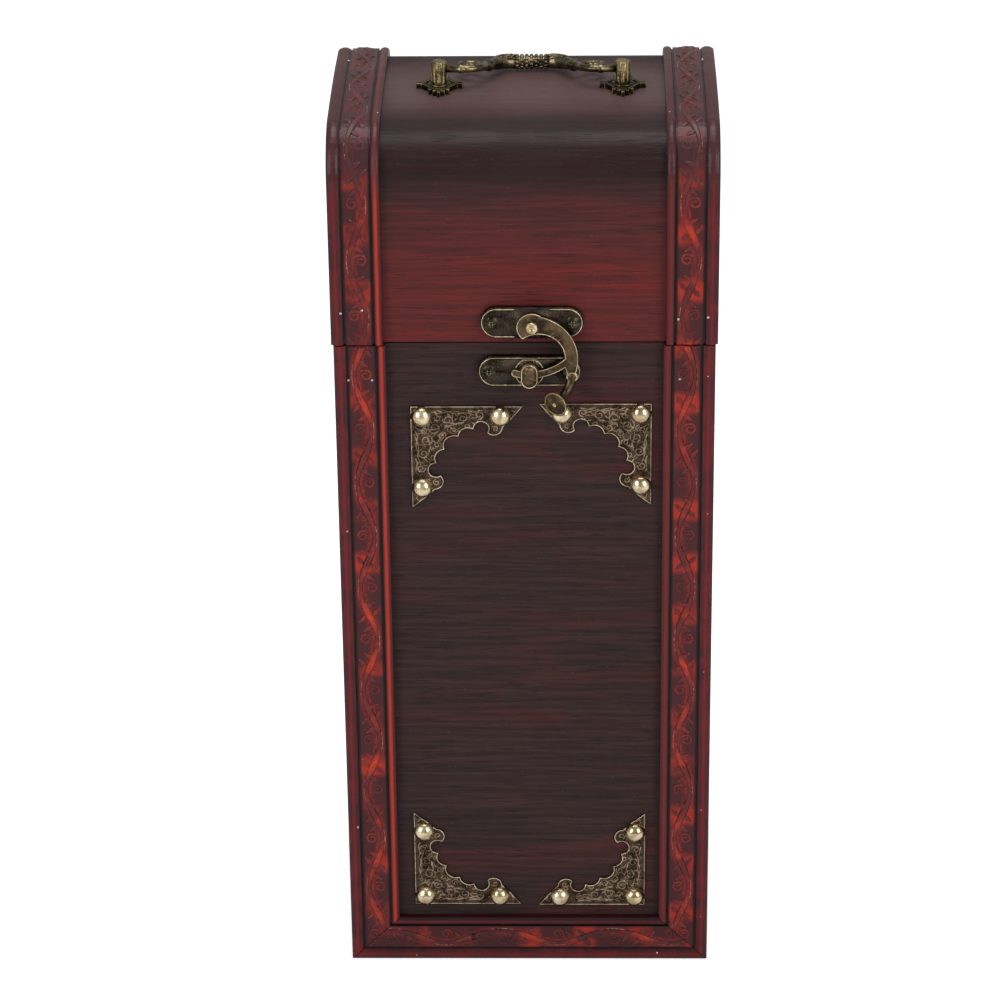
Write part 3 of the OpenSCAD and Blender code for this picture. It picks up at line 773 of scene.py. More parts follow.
@dataclass(frozen=True)
class Finish:
    """A finish with its own name; each kind builds its shader."""

    name: str

    def build(self) -> bpy.types.Material:
        """Returns the finish's material, built on its first use."""
        known = bpy.data.materials.get(self.name)
        if known is not None:
            return known
        material = bpy.data.materials.new(self.name)
        material.use_nodes = True
        material.node_tree.nodes.clear()
        w = Wiring(material.node_tree)
        shader = w.add("ShaderNodeBsdfPrincipled")
        w.put(w.add("ShaderNodeOutputMaterial").inputs["Surface"], shader.outputs[0])
        self.dress(w, shader, w.add("ShaderNodeTexCoord").outputs["Object"])
        return material

    def dress(self, w: Wiring, shader: bpy.types.Node, place: bpy.types.NodeSocket) -> None:
        """Wires the shader; place is the object coordinates."""
        raise NotImplementedError

    @staticmethod
    def bump(w: Wiring, shader: bpy.types.Node, height: object, depth: float, strength: float) -> None:
        """Feeds a height through a Bump node to the shader's normal."""
        node = w.add("ShaderNodeBump")
        w.put(shader.inputs["Normal"], w.fill(node, Strength=strength, Distance=depth, Height=height)[0])


class GrainWay(Enum):
    """Axis that a board's grain runs along, as a turn of the pattern."""

    X = (0.0, 0.0, 0.0)
    Z = (0.0, math.pi / 2, 0.0)

    def lay(self, w: Wiring, place: bpy.types.NodeSocket) -> bpy.types.NodeSocket:
        """Returns coordinates whose X runs along the grain."""
        return w.stretched(place, (1, 1, 1), self.value)


@dataclass(frozen=True)
class StainedWood(Finish):
    """Board under a dark stain and a satin varnish."""

    dark: str = "2b2221"
    mid: str = "3d2c2a"
    red: str = "5c2022"
    red_share: float = 0.55
    way: GrainWay = GrainWay.X
    gloss: float = 0.5
    coat: float = 0.0
    sheen: float = 0.14
    pore: str = "120c0c"
    dust: str = "8a7c78"

    def dress(self, w: Wiring, shader: bpy.types.Node, place: bpy.types.NodeSocket) -> None:
        """Wires the stain, the grain, any painted shade and sheen, and the varnish."""
        along = self.way.lay(w, place)
        grain = PATTERNS.place(w, Pattern.GRAIN, Vector=along)
        dust = PATTERNS.place(w, Pattern.DUST, Vector=place, Amount=0.10)
        cloud = w.noise(w.stretched(along, (9, 34, 34)), 1.0, 5.0, 0.6, 0.8)
        amount = self.redness(w, place, cloud, w.times(w.step(cloud, 0.47, 0.70), self.red_share))
        fibre = w.times(amount, w.plus(w.times(grain["Streak"], 0.4), 0.6))
        tone = w.mix(grain["Streak"], colour(self.dark), colour(self.mid))
        tone = w.over(tone, self.red, fibre)
        tone = w.over(tone, self.pore, grain["Pore"], 0.55)
        # Painted shade and sheen of the board, where it has any, then dust.
        tone = w.over(self.shaded(w, place, tone), self.dust, dust["Mask"])
        w.fill(
            shader, Base_Color=tone, Roughness=w.plus(w.times(dust["Dull"], 0.14), self.gloss),
            Specular_IOR_Level=self.sheen, Coat_Weight=self.coat, Coat_Roughness=0.28,
        )
        self.bump(w, shader, grain["Height"], 0.00022, 0.6)

    def redness(self, w: Wiring, place: object, cloud: object, amount: object) -> object:
        """Returns how red the stain is, from its clouds; a plain board takes the amount as it is."""
        return amount

    def shaded(self, w: Wiring, place: object, tone: object) -> object:
        """Returns the tone with a board's painted shade and painted sheen; a plain board has none."""
        return tone


@dataclass(frozen=True)
class LidWood(StainedWood):
    """The lid's board: red front, painted shade on the shoulder and a painted greyish sheen on the crown;
    sizes in metres.
    """

    middle: float = 0.0058
    red_heights: tuple[float, float] = (0.332, 0.288)
    wander: float = 0.07
    least_red: tuple[float, float, float, float] = (0.06, 0.06, 0.06, 1)
    # Painted shade on the shoulder: its colour, its heights and its reach from the middle.
    shoulder: str = "170f10"
    shoulder_shade_heights: tuple[float, float] = (0.317, 0.333)
    shoulder_shade_reach: tuple[float, float] = (0.014, 0.038)
    # Painted greyish sheen on the crown: its colour, its heights and its reach from the middle.
    crown: str = "645452"
    crown_sheen_heights: tuple[float, float] = (0.330, 0.340)
    crown_sheen_reach: tuple[float, float] = (0.034, 0.006)

    def redness(self, w: Wiring, place: object, cloud: object, amount: object) -> object:
        """Returns how red the stain is: most at the foot of the lid, with a wandering upper edge."""
        edge = w.plus(w.split(place)[2], w.times(w.minus(cloud, 0.5), self.wander))
        return w.mix(w.step(edge, *self.red_heights), self.least_red, w.plus(w.times(amount, 0.5), 0.5))

    def shaded(self, w: Wiring, place: object, tone: object) -> object:
        """Returns the tone with painted shade on the shoulder and a painted greyish sheen on the crown.

        Args:
            w: The material's wiring.
            place: The object coordinates.
            tone: The stained tone.

        Returns:
            The shaded tone.
        """
        _, y, z = w.split(place)
        reach = w.apart(y, self.middle)
        # Painted shade on the shoulder and painted greyish sheen on the crown.
        shoulder = w.times(w.step(z, *self.shoulder_shade_heights), w.step(reach, *self.shoulder_shade_reach))
        crown = w.times(w.step(z, *self.crown_sheen_heights), w.step(reach, *self.crown_sheen_reach))
        return w.over(w.over(tone, self.shoulder, shoulder, 0.7), self.crown, crown, 0.5)


class Run(Enum):
    """Where a moulding runs: up the front, across its foot or over the lid."""

    UPRIGHT = "upright"
    FOOT = "foot"
    OVER_LID = "over_lid"


@dataclass(frozen=True)
class EmbossedMoulding(Finish):
    """Red moulding with painted shade in its grooves, painted highlights on its bead crests, a bright inner
    bead and a stained band; sizes in millimetres.
    """

    run: Run = Run.UPRIGHT
    half_width: float = 70.0
    phase: float = 0.0
    inner_low: str = "4c171a"
    # Painted highlight along the inner bead's crest, brighter on the left than on the right.
    inner_crest_highlight: str = "aa2c1d"
    inner_crest_highlight_right: str = "6a1d1c"
    outer_low: str = "3a1219"
    outer_high: str = "5c1518"
    # Painted highlight along the outer bead's crest.
    outer_crest_highlight: str = "74181a"
    band_low: str = "43171b"
    band_stem: str = "72201d"
    glow: str = "aa2c18"
    pore: str = "1d0c0c"
    # Painted shade in the grooves.
    groove: str = "170b0b"
    # Painted shade where the band turns over the lid's shoulder and top.
    top: str = "3f2426"
    top_shade_heights: tuple[float, float] = (320.0, 338.0)
    shadow: str = "1c1012"
    dim: float = 0.0

    def spread(self, w: Wiring, place: object) -> tuple[tuple[object, ...], object, object, GrainWay]:
        """Measures the moulding.

        Args:
            w: The material's wiring.
            place: The object coordinates.

        Returns:
            The three coordinates, the places across it and along it, and its grain's way.
        """
        x, y, z = (w.times(part, 1000.0) for part in w.split(place))
        if self.run is Run.FOOT:
            return (x, y, z), z, w.plus(x, self.phase), GrainWay.X
        along = w.plus(z, self.phase)
        if self.run is Run.OVER_LID:
            along = w.plus(along, w.sum("MAXIMUM", w.plus(y, LID.front_of_shoulder), 0.0))
        return (x, y, z), w.minus(self.half_width, w.sum("ABSOLUTE", x)), along, GrainWay.Z

    def dress(self, w: Wiring, shader: bpy.types.Node, place: bpy.types.NodeSocket) -> None:
        """Wires the zones across the moulding, the stain, its wear, and its painted shade and highlights."""
        (x, _, z), across, along, way = self.spread(w, place)
        zones = PATTERNS.place(w, Pattern.MOULDING_ZONES, Across=across, Along=along)
        grain = PATTERNS.place(w, Pattern.GRAIN, Vector=way.lay(w, place))
        worn = w.noise(place, 120.0, 4.0, 0.6)
        cloud = w.noise(place, 42.0, 3.0, 0.55)
        band = w.mix(zones["Stem"], colour(self.band_low), colour(self.band_stem))
        band = w.over(band, self.glow, w.times(w.step(cloud, 0.4, 0.6), zones["Crossing"]), 0.8)
        # Painted highlight along the inner bead's crest, brighter towards the left.
        crest = w.mix(w.step(x, 15.0, -15.0), colour(self.inner_crest_highlight_right), colour(self.inner_crest_highlight))
        inner = w.mix(zones["Crest Highlight"], colour(self.inner_low), crest)
        outer = w.mix(w.step(worn, 0.35, 0.7), colour(self.outer_low), colour(self.outer_high))
        tone = w.mix(zones["Outer Bead"], w.mix(zones["Inner Bead"], band, inner), outer)
        tone = w.over(tone, self.pore, grain["Pore"], 0.35)
        # Painted shade in the grooves.
        tone = w.over(tone, self.groove, zones["Groove Shade"], 0.92)
        # Painted highlight along the outer bead's crest.
        tone = w.over(tone, self.outer_crest_highlight, w.times(zones["Outer Bead"], zones["Crest Highlight"]), 0.6)
        # Painted shade where the band turns over the lid's shoulder and top.
        if self.run is Run.OVER_LID:
            tone = w.over(tone, self.top, w.step(z, *self.top_shade_heights), 0.8)
        w.fill(
            shader, Base_Color=w.over(tone, self.shadow, self.dim),
            Roughness=w.plus(w.times(w.step(worn, 0.4, 0.7), 0.12), 0.28),
            Specular_IOR_Level=0.2, Coat_Weight=0.07, Coat_Roughness=0.2,
        )
        self.bump(w, shader, w.plus(grain["Height"], worn), 0.00012, 0.5)


@dataclass(frozen=True)
class VineStain(Finish):
    """Raised vine: bright where its stem crosses the band, dark in the leaves, with painted highlight on its
    hair lines.
    """

    deep: str = "561518"
    bright: str = "b03219"
    # Colour of the painted highlight lines.
    pale: str = "b58c80"
    speck: str = "2c1012"
    # Painted shade where the vine turns over the lid's shoulder and top.
    top: str = "432729"
    top_shade_heights: tuple[float, float] = (0.320, 0.338)

    def dress(self, w: Wiring, shader: bpy.types.Node, place: bpy.types.NodeSocket) -> None:
        """Wires the stain by the tone that each stroke carries."""
        mark = w.add("ShaderNodeAttribute", attribute_name="tone").outputs["Fac"]
        cloud = w.noise(place, 70.0, 4.0, 0.6, 0.4)
        small = w.noise(place, 900.0, 3.0, 0.6)
        patch = w.times(w.step(cloud, 0.42, 0.66), w.sum("MINIMUM", mark, 1.0))
        tone = w.mix(patch, colour(self.deep), colour(self.bright))
        tone = w.over(tone, self.speck, w.step(small, 0.52, 0.7), 0.5)
        # Painted shade where the vine turns over the lid's shoulder and top.
        tone = w.over(tone, self.top, w.step(w.split(place)[2], *self.top_shade_heights), 0.8)
        # Painted highlight on the hair lines whose tone mark is above 1.5, broken up by fine noise.
        rubbed = w.times(w.sum("GREATER_THAN", mark, 1.5), w.step(small, 0.47, 0.6))
        w.fill(
            shader, Base_Color=w.over(tone, self.pale, rubbed, 0.8),
            Roughness=w.plus(w.times(small, 0.25), 0.26),
            Specular_IOR_Level=0.28, Coat_Weight=0.1, Coat_Roughness=0.18,
        )
        self.bump(w, shader, small, 0.00008, 0.5)


@dataclass(frozen=True)
class Metal(Finish):
    """Metal under a patina, from dark recesses to a rubbed tone."""

    recess: str = "2a2218"
    body: str = "55472c"
    rubbed: str = "8d7a4c"
    share: float = 0.35
    rough: float = 0.38
    depth: float = 0.00006
    size: float = 1.0

    def dress(self, w: Wiring, shader: bpy.types.Node, place: bpy.types.NodeSocket) -> None:
        """Wires the metal and its patina."""
        patina = PATTERNS.place(w, Pattern.PATINA, Vector=place, Size=self.size)
        tone = w.mix(patina["Tarnish"], colour(self.recess), colour(self.body))
        tone = w.over(tone, self.rubbed, patina["Speck"], self.share)
        rough = w.plus(w.times(patina["Tarnish"], 0.12), self.rough)
        w.fill(shader, Base_Color=tone, Metallic=1.0, Roughness=rough)
        self.bump(w, shader, patina["Height"], self.depth, 0.6)


PANEL_WOOD = StainedWood("panel_stain", dark="2b2120", mid="3b2a29", red="5c1f21", red_share=0.42, sheen=0.1)
BACK_WOOD = StainedWood("back_stain", dark="2a1c1b", mid="3e2524", red="55201f", red_share=0.7)
SIDE_WOOD = StainedWood(
    "side_stain", dark="241617", mid="3a1c1d", red="561c1f", red_share=0.75, way=GrainWay.Z
)
LID_WOOD = LidWood(
    "lid_stain_and_painted_light", dark="2f1c1c", mid="452525", red="741a19", red_share=1.0, gloss=0.4, coat=0.04, sheen=0.17
)
INSIDE_WOOD = StainedWood("base_stain", dark="2b1d1a", mid="3f2b26", red="4a2522", red_share=0.3, gloss=0.6)
STILE_RED = EmbossedMoulding("stile_red")
# The rail's copy is darker as painted shade: a dimmer inner bead and the whole dimmed towards the shadow
# colour.
RAIL_RED_IN_SHADE = EmbossedMoulding(
    "rail_red_in_shade", run=Run.FOOT, phase=22.0,
    inner_low="2e1116", inner_crest_highlight="58161a", inner_crest_highlight_right="4a1418", dim=0.15,
)
BAND_RED = EmbossedMoulding("band_red", run=Run.OVER_LID, half_width=70.8, phase=-265.0)
VINE_RED = VineStain("vine_red")
# A darker copy of the vine stain for the rail, as painted shade.
VINE_IN_SHADE = VineStain("vine_in_shade", deep="3e1417", bright="98280f")
ANTIQUE = Metal("antique_brass")
RUBBED = Metal("rubbed_brass", recess="b3a07a", body="e6dab4", rubbed="fff6da", rough=0.42, depth=0.00002)
STAMPED = Metal(
    "stamped_brass", recess="2b211b", body="54443a", rubbed="8f7c66", share=0.3, rough=0.42, depth=0.00025
)
NAIL_BRASS = Metal(
    "nail_brass", recess="b29c78", body="e4d4b2", rubbed="fff3cc", share=0.3, rough=0.17, depth=0.00003
)
SCREW_METAL = Metal("screw_metal", recess="221e18", body="4b4335", rubbed="8a8068", rough=0.36)
BRAD_STEEL = Metal("brad_steel", recess="9a9a98", body="d6d6d4", rubbed="ffffff", rough=0.25, depth=0.00001)
SCROLL_BRASS = Metal(
    "scroll_brass", recess="6a5846", body="a8927a", rubbed="d8c6aa", share=0.5, rough=0.36, depth=0.00004
)
PLATE_BRASS = Metal("plate_brass", recess="2a2420", body="40372f", rubbed="6c5e4c", share=0.4, rough=0.36)
HOOK_BRASS = Metal(
    "hook_brass", recess="352c21", body="695640", rubbed="a8906a", share=0.22, rough=0.3, size=0.35
)
KNOB_BRASS = Metal("knob_brass", recess="8a734c", body="c2a878", rubbed="f0e2b8", share=0.5, rough=0.36)
SCREW_EDGE = Metal("screw_edge", recess="6b6250", body="9a8f76", rubbed="c8bea2", rough=0.35)
RUBBED_DARK = Metal("rubbed_dark_brass", recess="6e5d38", body="97844f", rubbed="c8b682", rough=0.3)
POST_BRASS = Metal("post_brass", recess="5a5038", body="978862", rubbed="d6c79a", share=0.45, rough=0.27)
BAIL_BRASS = Metal("bail_brass", recess="484130", body="8a7c5e", rubbed="cabd96", share=0.45, rough=0.28)
BEAD_BRASS = Metal("bead_brass", recess="3f3a2e", body="8a7e62", rubbed="d0c4a2", share=0.5, rough=0.3)


# ---------------------------------------------------------------------------
# Sub-assemblies
# ---------------------------------------------------------------------------


@dataclass(frozen=True)
class LidProfile:
    """Outline of the lid seen from its end, in millimetres above the seam."""

    half_depth: float = 54.0
    shoulder_r: float = 18.7
    shoulder_h: float = 64.0
    top_h: float = 84.0
    foot: float = 0.5

    @property
    def front_of_shoulder(self) -> float:
        """How far the shoulder's start is ahead of Y = 0, in millimetres."""
        return -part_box("lid_left_band")[0].y / MM

    @property
    def middle(self) -> float:
        """Y of the lid's middle, in millimetres."""
        low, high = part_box("lid_left_band")
        return (low.y + high.y) / 2 / MM

    @property
    def crown(self) -> tuple[float, float, float]:
        """Radius and centre height of the crown, and the angle where the shoulder ends."""
        a, rise, r = self.half_depth - self.shoulder_r, self.top_h - self.shoulder_h, self.shoulder_r
        radius = (a * a + rise * rise - r * r) / (2 * (rise - r))
        centre = self.top_h - radius
        return radius, centre, math.atan2(self.shoulder_h - centre, -a)

    def length(self, inset: float) -> float:
        """Length of the outline from seam to seam, at a depth below the crest."""
        radius, _, angle = self.crown
        sides = 2 * (self.shoulder_h - self.foot) + 2 * (self.shoulder_r - inset) * (math.pi - angle)
        return sides + (radius - inset) * (2 * angle - math.pi)

    def point(self, s: float, inset: float) -> tuple[float, float, float]:
        """Place on the outline.

        Args:
            s: Distance from the front seam along the outline, in millimetres.
            inset: Depth below the crest, in millimetres.

        Returns:
            Y from the lid's middle, height above the seam and the outward angle.
        """
        radius, centre, angle = self.crown
        total = self.length(inset)
        if s > total / 2:
            y, z, a = self.point(total - s, inset)
            return -y, z, math.pi - a
        straight = self.shoulder_h - self.foot
        if s <= straight:
            return -(self.half_depth - inset), self.foot + s, math.pi
        r = self.shoulder_r - inset
        turn = (s - straight) / r
        if turn <= math.pi - angle:
            a = math.pi - turn
            centre_y = -(self.half_depth - self.shoulder_r)
            return centre_y + r * math.cos(a), self.shoulder_h + r * math.sin(a), a
        a = angle - (s - straight - r * (math.pi - angle)) / (radius - inset)
        return (radius - inset) * math.cos(a), centre + (radius - inset) * math.sin(a), a


LID = LidProfile()


@dataclass
class Boards:
    """The plain boards of the case and the lid."""

    finishes: dict[str, Finish] = field(default_factory=lambda: {
        "front_panel": PANEL_WOOD,
        "back_panel": BACK_WOOD,
        "left_side_panel": SIDE_WOOD,
        "right_side_panel": SIDE_WOOD,
        "base_board": INSIDE_WOOD,
        "lid_shell": LID_WOOD,
        "lid_left_end": SIDE_WOOD,
        "lid_right_end": SIDE_WOOD,
        "front_left_stile": STILE_RED,
        "front_right_stile": STILE_RED,
        "front_bottom_rail": RAIL_RED_IN_SHADE,
        "lid_left_band": BAND_RED,
        "lid_right_band": BAND_RED,
    })

    def dress(self) -> None:
        """Gives each board its finish."""
        for node, finish in self.finishes.items():
            painted(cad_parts[node], finish)
            LOG.info("%s: finish %s", node, finish.name)


@dataclass
class VineTrim:
    """Vine scroll raised on the mouldings' flat bands, in millimetres."""

    band_middle: float = 10.35
    stem_r: float = 0.75
    recess: float = 0.4
    mitre_gap: float = 0.35
    rail_shift: float = 22.0
    # Tone mark of the painted highlight lines.
    highlight_tone: float = 2.0
    leaves: tuple[tuple[float, float, float, float, float, int], ...] = (
        (-8.0, 2.0, 4.8, 2.0, -62, 0),
        (6.6, 1.6, 4.6, 1.9, -128, 0),
        (-11.5, -1.4, 4.2, 1.8, -40, 0),
        (10.8, -1.0, 4.0, 1.7, -140, 0),
        (0.2, 3.1, 3.6, 1.5, 14, 180),
    )

    def build(self) -> None:
        """Builds the five strips of vine."""
        motif = self.motif()
        self.stile_strip(motif, -1)
        self.stile_strip(motif, 1)
        self.rail_strip(motif)
        self.lid_strip(motif, -1)
        self.lid_strip(motif, 1)
        discard(motif)

    def toned(self, piece: bpy.types.Object, tone: Callable[[float], float]) -> bpy.types.Object:
        """Marks each vertex of a stroke with its tone, a function of the place along the band."""
        mark = piece.data.attributes.new("tone", "FLOAT", "POINT")
        for vertex, value in zip(piece.data.vertices, mark.data):
            value.value = tone(vertex.co.x / MM)
        return piece

    def line(
        self, points: Spots, radii: list[float], tone: Callable[[float], float] = lambda s: 0.35
    ) -> bpy.types.Object:
        """Makes a flattened, toned stroke from places along and across the band."""
        return self.toned(stroke(points, radii, 0.5), tone)

    def highlight_line(self, points: Spots) -> bpy.types.Object:
        """Makes a hair line of painted highlight."""
        return self.line(points, [0.15] * len(points), lambda s: self.highlight_tone)

    def curl(self, s: float, v: float, r: float, start: float, turns: float) -> bpy.types.Object:
        """Makes a spiral tendril that winds in to its centre, with a painted highlight line outside it.

        Args:
            s: Centre along the band.
            v: Centre across the band.
            r: Radius at its start.
            start: Angle of its start, in degrees.
            turns: How many turns it makes, below 0 for clockwise.

        Returns:
            The tendril.
        """
        count = 16
        points = spiral((s, v), r, start, turns, 0.72, count)
        radii = [0.5 - 0.2 * (i / count) for i in range(count)] + [0.42]
        line = self.highlight_line([(s + (a - s) * 1.12, v + (b - v) * 1.12) for a, b in points[:11]])
        return joined([self.line(points, radii), line], "curl")

    def leaf(self, s: float, v: float, length: float, width: float, angle: float) -> bpy.types.Object:
        """Makes a teardrop leaf with a sunken midrib.

        Args:
            s: Its root along the band.
            v: Its root across the band.
            length: Its length.
            width: Its greatest width.
            angle: Its direction, in degrees.

        Returns:
            The leaf.
        """
        deselect()
        bpy.ops.mesh.primitive_uv_sphere_add(segments=12, ring_count=8, radius=0.5)
        piece = bpy.context.object
        for vertex in piece.data.vertices:
            x = vertex.co.x
            taper = 1.0 if x < 0 else 1.0 - 1.15 * x
            groove = 1.0 - 0.35 * math.exp(-((vertex.co.y / 0.13) ** 2))
            vertex.co.y *= max(taper, 0.3) * width
            vertex.co.z *= 1.1 * max(taper, 0.5) * groove
            vertex.co.x = (x + 0.5) * length
        turn = Matrix.Rotation(math.radians(angle), 4, "Z")
        moved(piece, Matrix.Translation((s * MM, v * MM, 0)) @ turn @ Matrix.Scale(MM, 4))
        pick(piece)
        bpy.ops.object.shade_smooth()
        return self.toned(piece, lambda s: 0.3)

    def midrib(self, s: float, v: float, length: float, angle: float) -> bpy.types.Object:
        """Makes the painted highlight line along one side of a leaf, which starts and points as the leaf
        does.
        """
        a = math.radians(angle)
        places = ((0.2, 0.3), (0.5, 0.42), (0.8, 0.25), (1.0, 0.0))
        return self.highlight_line([
            (s + length * t * math.cos(a) - d * math.sin(a), v + length * t * math.sin(a) + d * math.cos(a))
            for t, d in places
        ])

    def motif(self) -> bpy.types.Object:
        """Builds one pitch of the vine, lying along X and across Y."""
        p, count = SECTION.pitch, 28
        steps = [p * i / count for i in range(count + 1)]
        stem = [(s, SECTION.swing * math.sin(FULL_TURN * s / p)) for s in steps]
        radii = [self.stem_r * (1 + 0.9 * math.cos(FULL_TURN * s / p) ** 2) for s, _ in stem]
        pieces = [self.line(stem, radii, lambda s: math.cos(FULL_TURN * s / p) ** 2)]
        # Painted highlight lines beside the stem.
        for start, end, lift in ((3, 11, 0.9), (17, 25, -0.9)):
            pieces.append(self.highlight_line([(s, v + lift) for s, v in stem[start:end]]))
        for half, way in ((0.25, 1), (0.75, -1)):
            s = p * half
            pieces.append(self.curl(s + 0.4, -way * 1.3, 2.4, 60 * way, -way * 1.35))
            tie = [(s - 7.0, way * 1.1), (s - 4.4, way * 0.6), (s - 1.6, way * 1.0)]
            pieces.append(self.line(tie, [0.4, 0.5, 0.35]))
            for root, side, length, width, angle, turn in self.leaves:
                pieces.append(self.leaf(s + root, way * side, length, width, turn + way * angle))
                pieces.append(self.midrib(s + root, way * side, length, turn + way * angle))
        return joined(pieces, "vine_motif")

    def strip(self, motif: bpy.types.Object, start: float, count: int, name: str) -> bpy.types.Object:
        """Repeats the motif along X.

        Args:
            motif: One pitch of the vine.
            start: Where the first one begins.
            count: How many there are.
            name: The name of the strip.

        Returns:
            The strip, still flat.
        """
        piece = copy_of(motif, name)
        piece.location.x = start * MM
        settle(piece)
        repeat = piece.modifiers.new("repeat", "ARRAY")
        repeat.use_relative_offset = False
        repeat.use_constant_offset = True
        repeat.constant_offset_displace = (SECTION.pitch * MM, 0, 0)
        repeat.count = count
        pick(piece)
        bpy.ops.object.modifier_apply(modifier=repeat.name)
        return piece

    def lay(
        self, piece: bpy.types.Object, axes: Matrix, cuts: tuple[tuple[Vector, Vector], ...], stain: Finish
    ) -> None:
        """Lays a flat strip on the case.

        Args:
            piece: The strip.
            axes: Its place.
            cuts: A point and the outward direction of each plane that ends it.
            stain: Its finish.
        """
        moved(piece, axes)
        for place, normal in cuts:
            cut(piece, place, normal)
        placed(outward(piece), Body.CASE, Slot.MOULDING, stain)

    def stile_strip(self, motif: bpy.types.Object, side: int) -> None:
        """Builds the vine up one stile, cut at the seam and at the mitre.

        Args:
            motif: One pitch of the vine.
            side: -1 for the left stile or 1 for the right one.
        """
        hand = "left" if side < 0 else "right"
        low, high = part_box(f"front_{hand}_stile")
        face = low.y / MM + self.recess
        edge = low.x if side < 0 else high.x
        across = edge / MM - side * self.band_middle
        axes = Matrix(((0, -side, 0, across * MM), (0, 0, -1, face * MM), (1, 0, 0, 0), (0, 0, 0, 1)))
        cuts = (
            (Vector((0, 0, high.z - 0.2 * MM)), Vector((0, 0, 1))),
            (Vector((edge, 0, self.mitre_gap * MM)), Vector((-side, 0, -1))),
        )
        self.lay(self.strip(motif, 0.0, 7, f"vine_{hand}_stile"), axes, cuts, VINE_RED)

    def rail_strip(self, motif: bpy.types.Object) -> None:
        """Builds the vine across the foot, cut at both mitres."""
        low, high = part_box("front_bottom_rail")
        face = low.y / MM + self.recess
        rise = self.band_middle * MM
        axes = Matrix(((1, 0, 0, self.rail_shift * MM), (0, 0, -1, face * MM), (0, 1, 0, rise), (0, 0, 0, 1)))
        cuts = (
            (Vector((low.x + self.mitre_gap * MM, 0, 0)), Vector((-1, 0, 1))),
            (Vector((high.x - self.mitre_gap * MM, 0, 0)), Vector((1, 0, 1))),
        )
        self.lay(self.strip(motif, -88.0, 4, "vine_rail"), axes, cuts, VINE_IN_SHADE)

    def lid_strip(self, motif: bpy.types.Object, side: int) -> None:
        """Builds the vine over the lid, bent along the lid's outline.

        Args:
            motif: One pitch of the vine.
            side: -1 for the left band or 1 for the right one.
        """
        hand = "left" if side < 0 else "right"
        low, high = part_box(f"lid_{hand}_band")
        total = LID.length(self.recess)
        piece = self.strip(motif, 0.0, 6, f"vine_{hand}_band")
        cut(piece, Vector(((total - 0.3) * MM, 0, 0)), Vector((1, 0, 0)))
        cut(piece, Vector((0.3 * MM, 0, 0)), Vector((-1, 0, 0)))
        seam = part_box("front_panel")[1].z
        across = low.x + self.band_middle * MM if side < 0 else high.x - self.band_middle * MM
        middle = LID.middle
        for vertex in piece.data.vertices:
            s, v, h = vertex.co.x / MM, vertex.co.y, vertex.co.z
            y, z, a = LID.point(s, self.recess)
            vertex.co = (
                across - side * v,
                (y + middle) * MM + h * math.cos(a),
                seam + z * MM + h * math.sin(a),
            )
        outward(piece)
        smooth(piece, 40)
        placed(piece, Body.LID, Slot.MOULDING, VINE_RED)


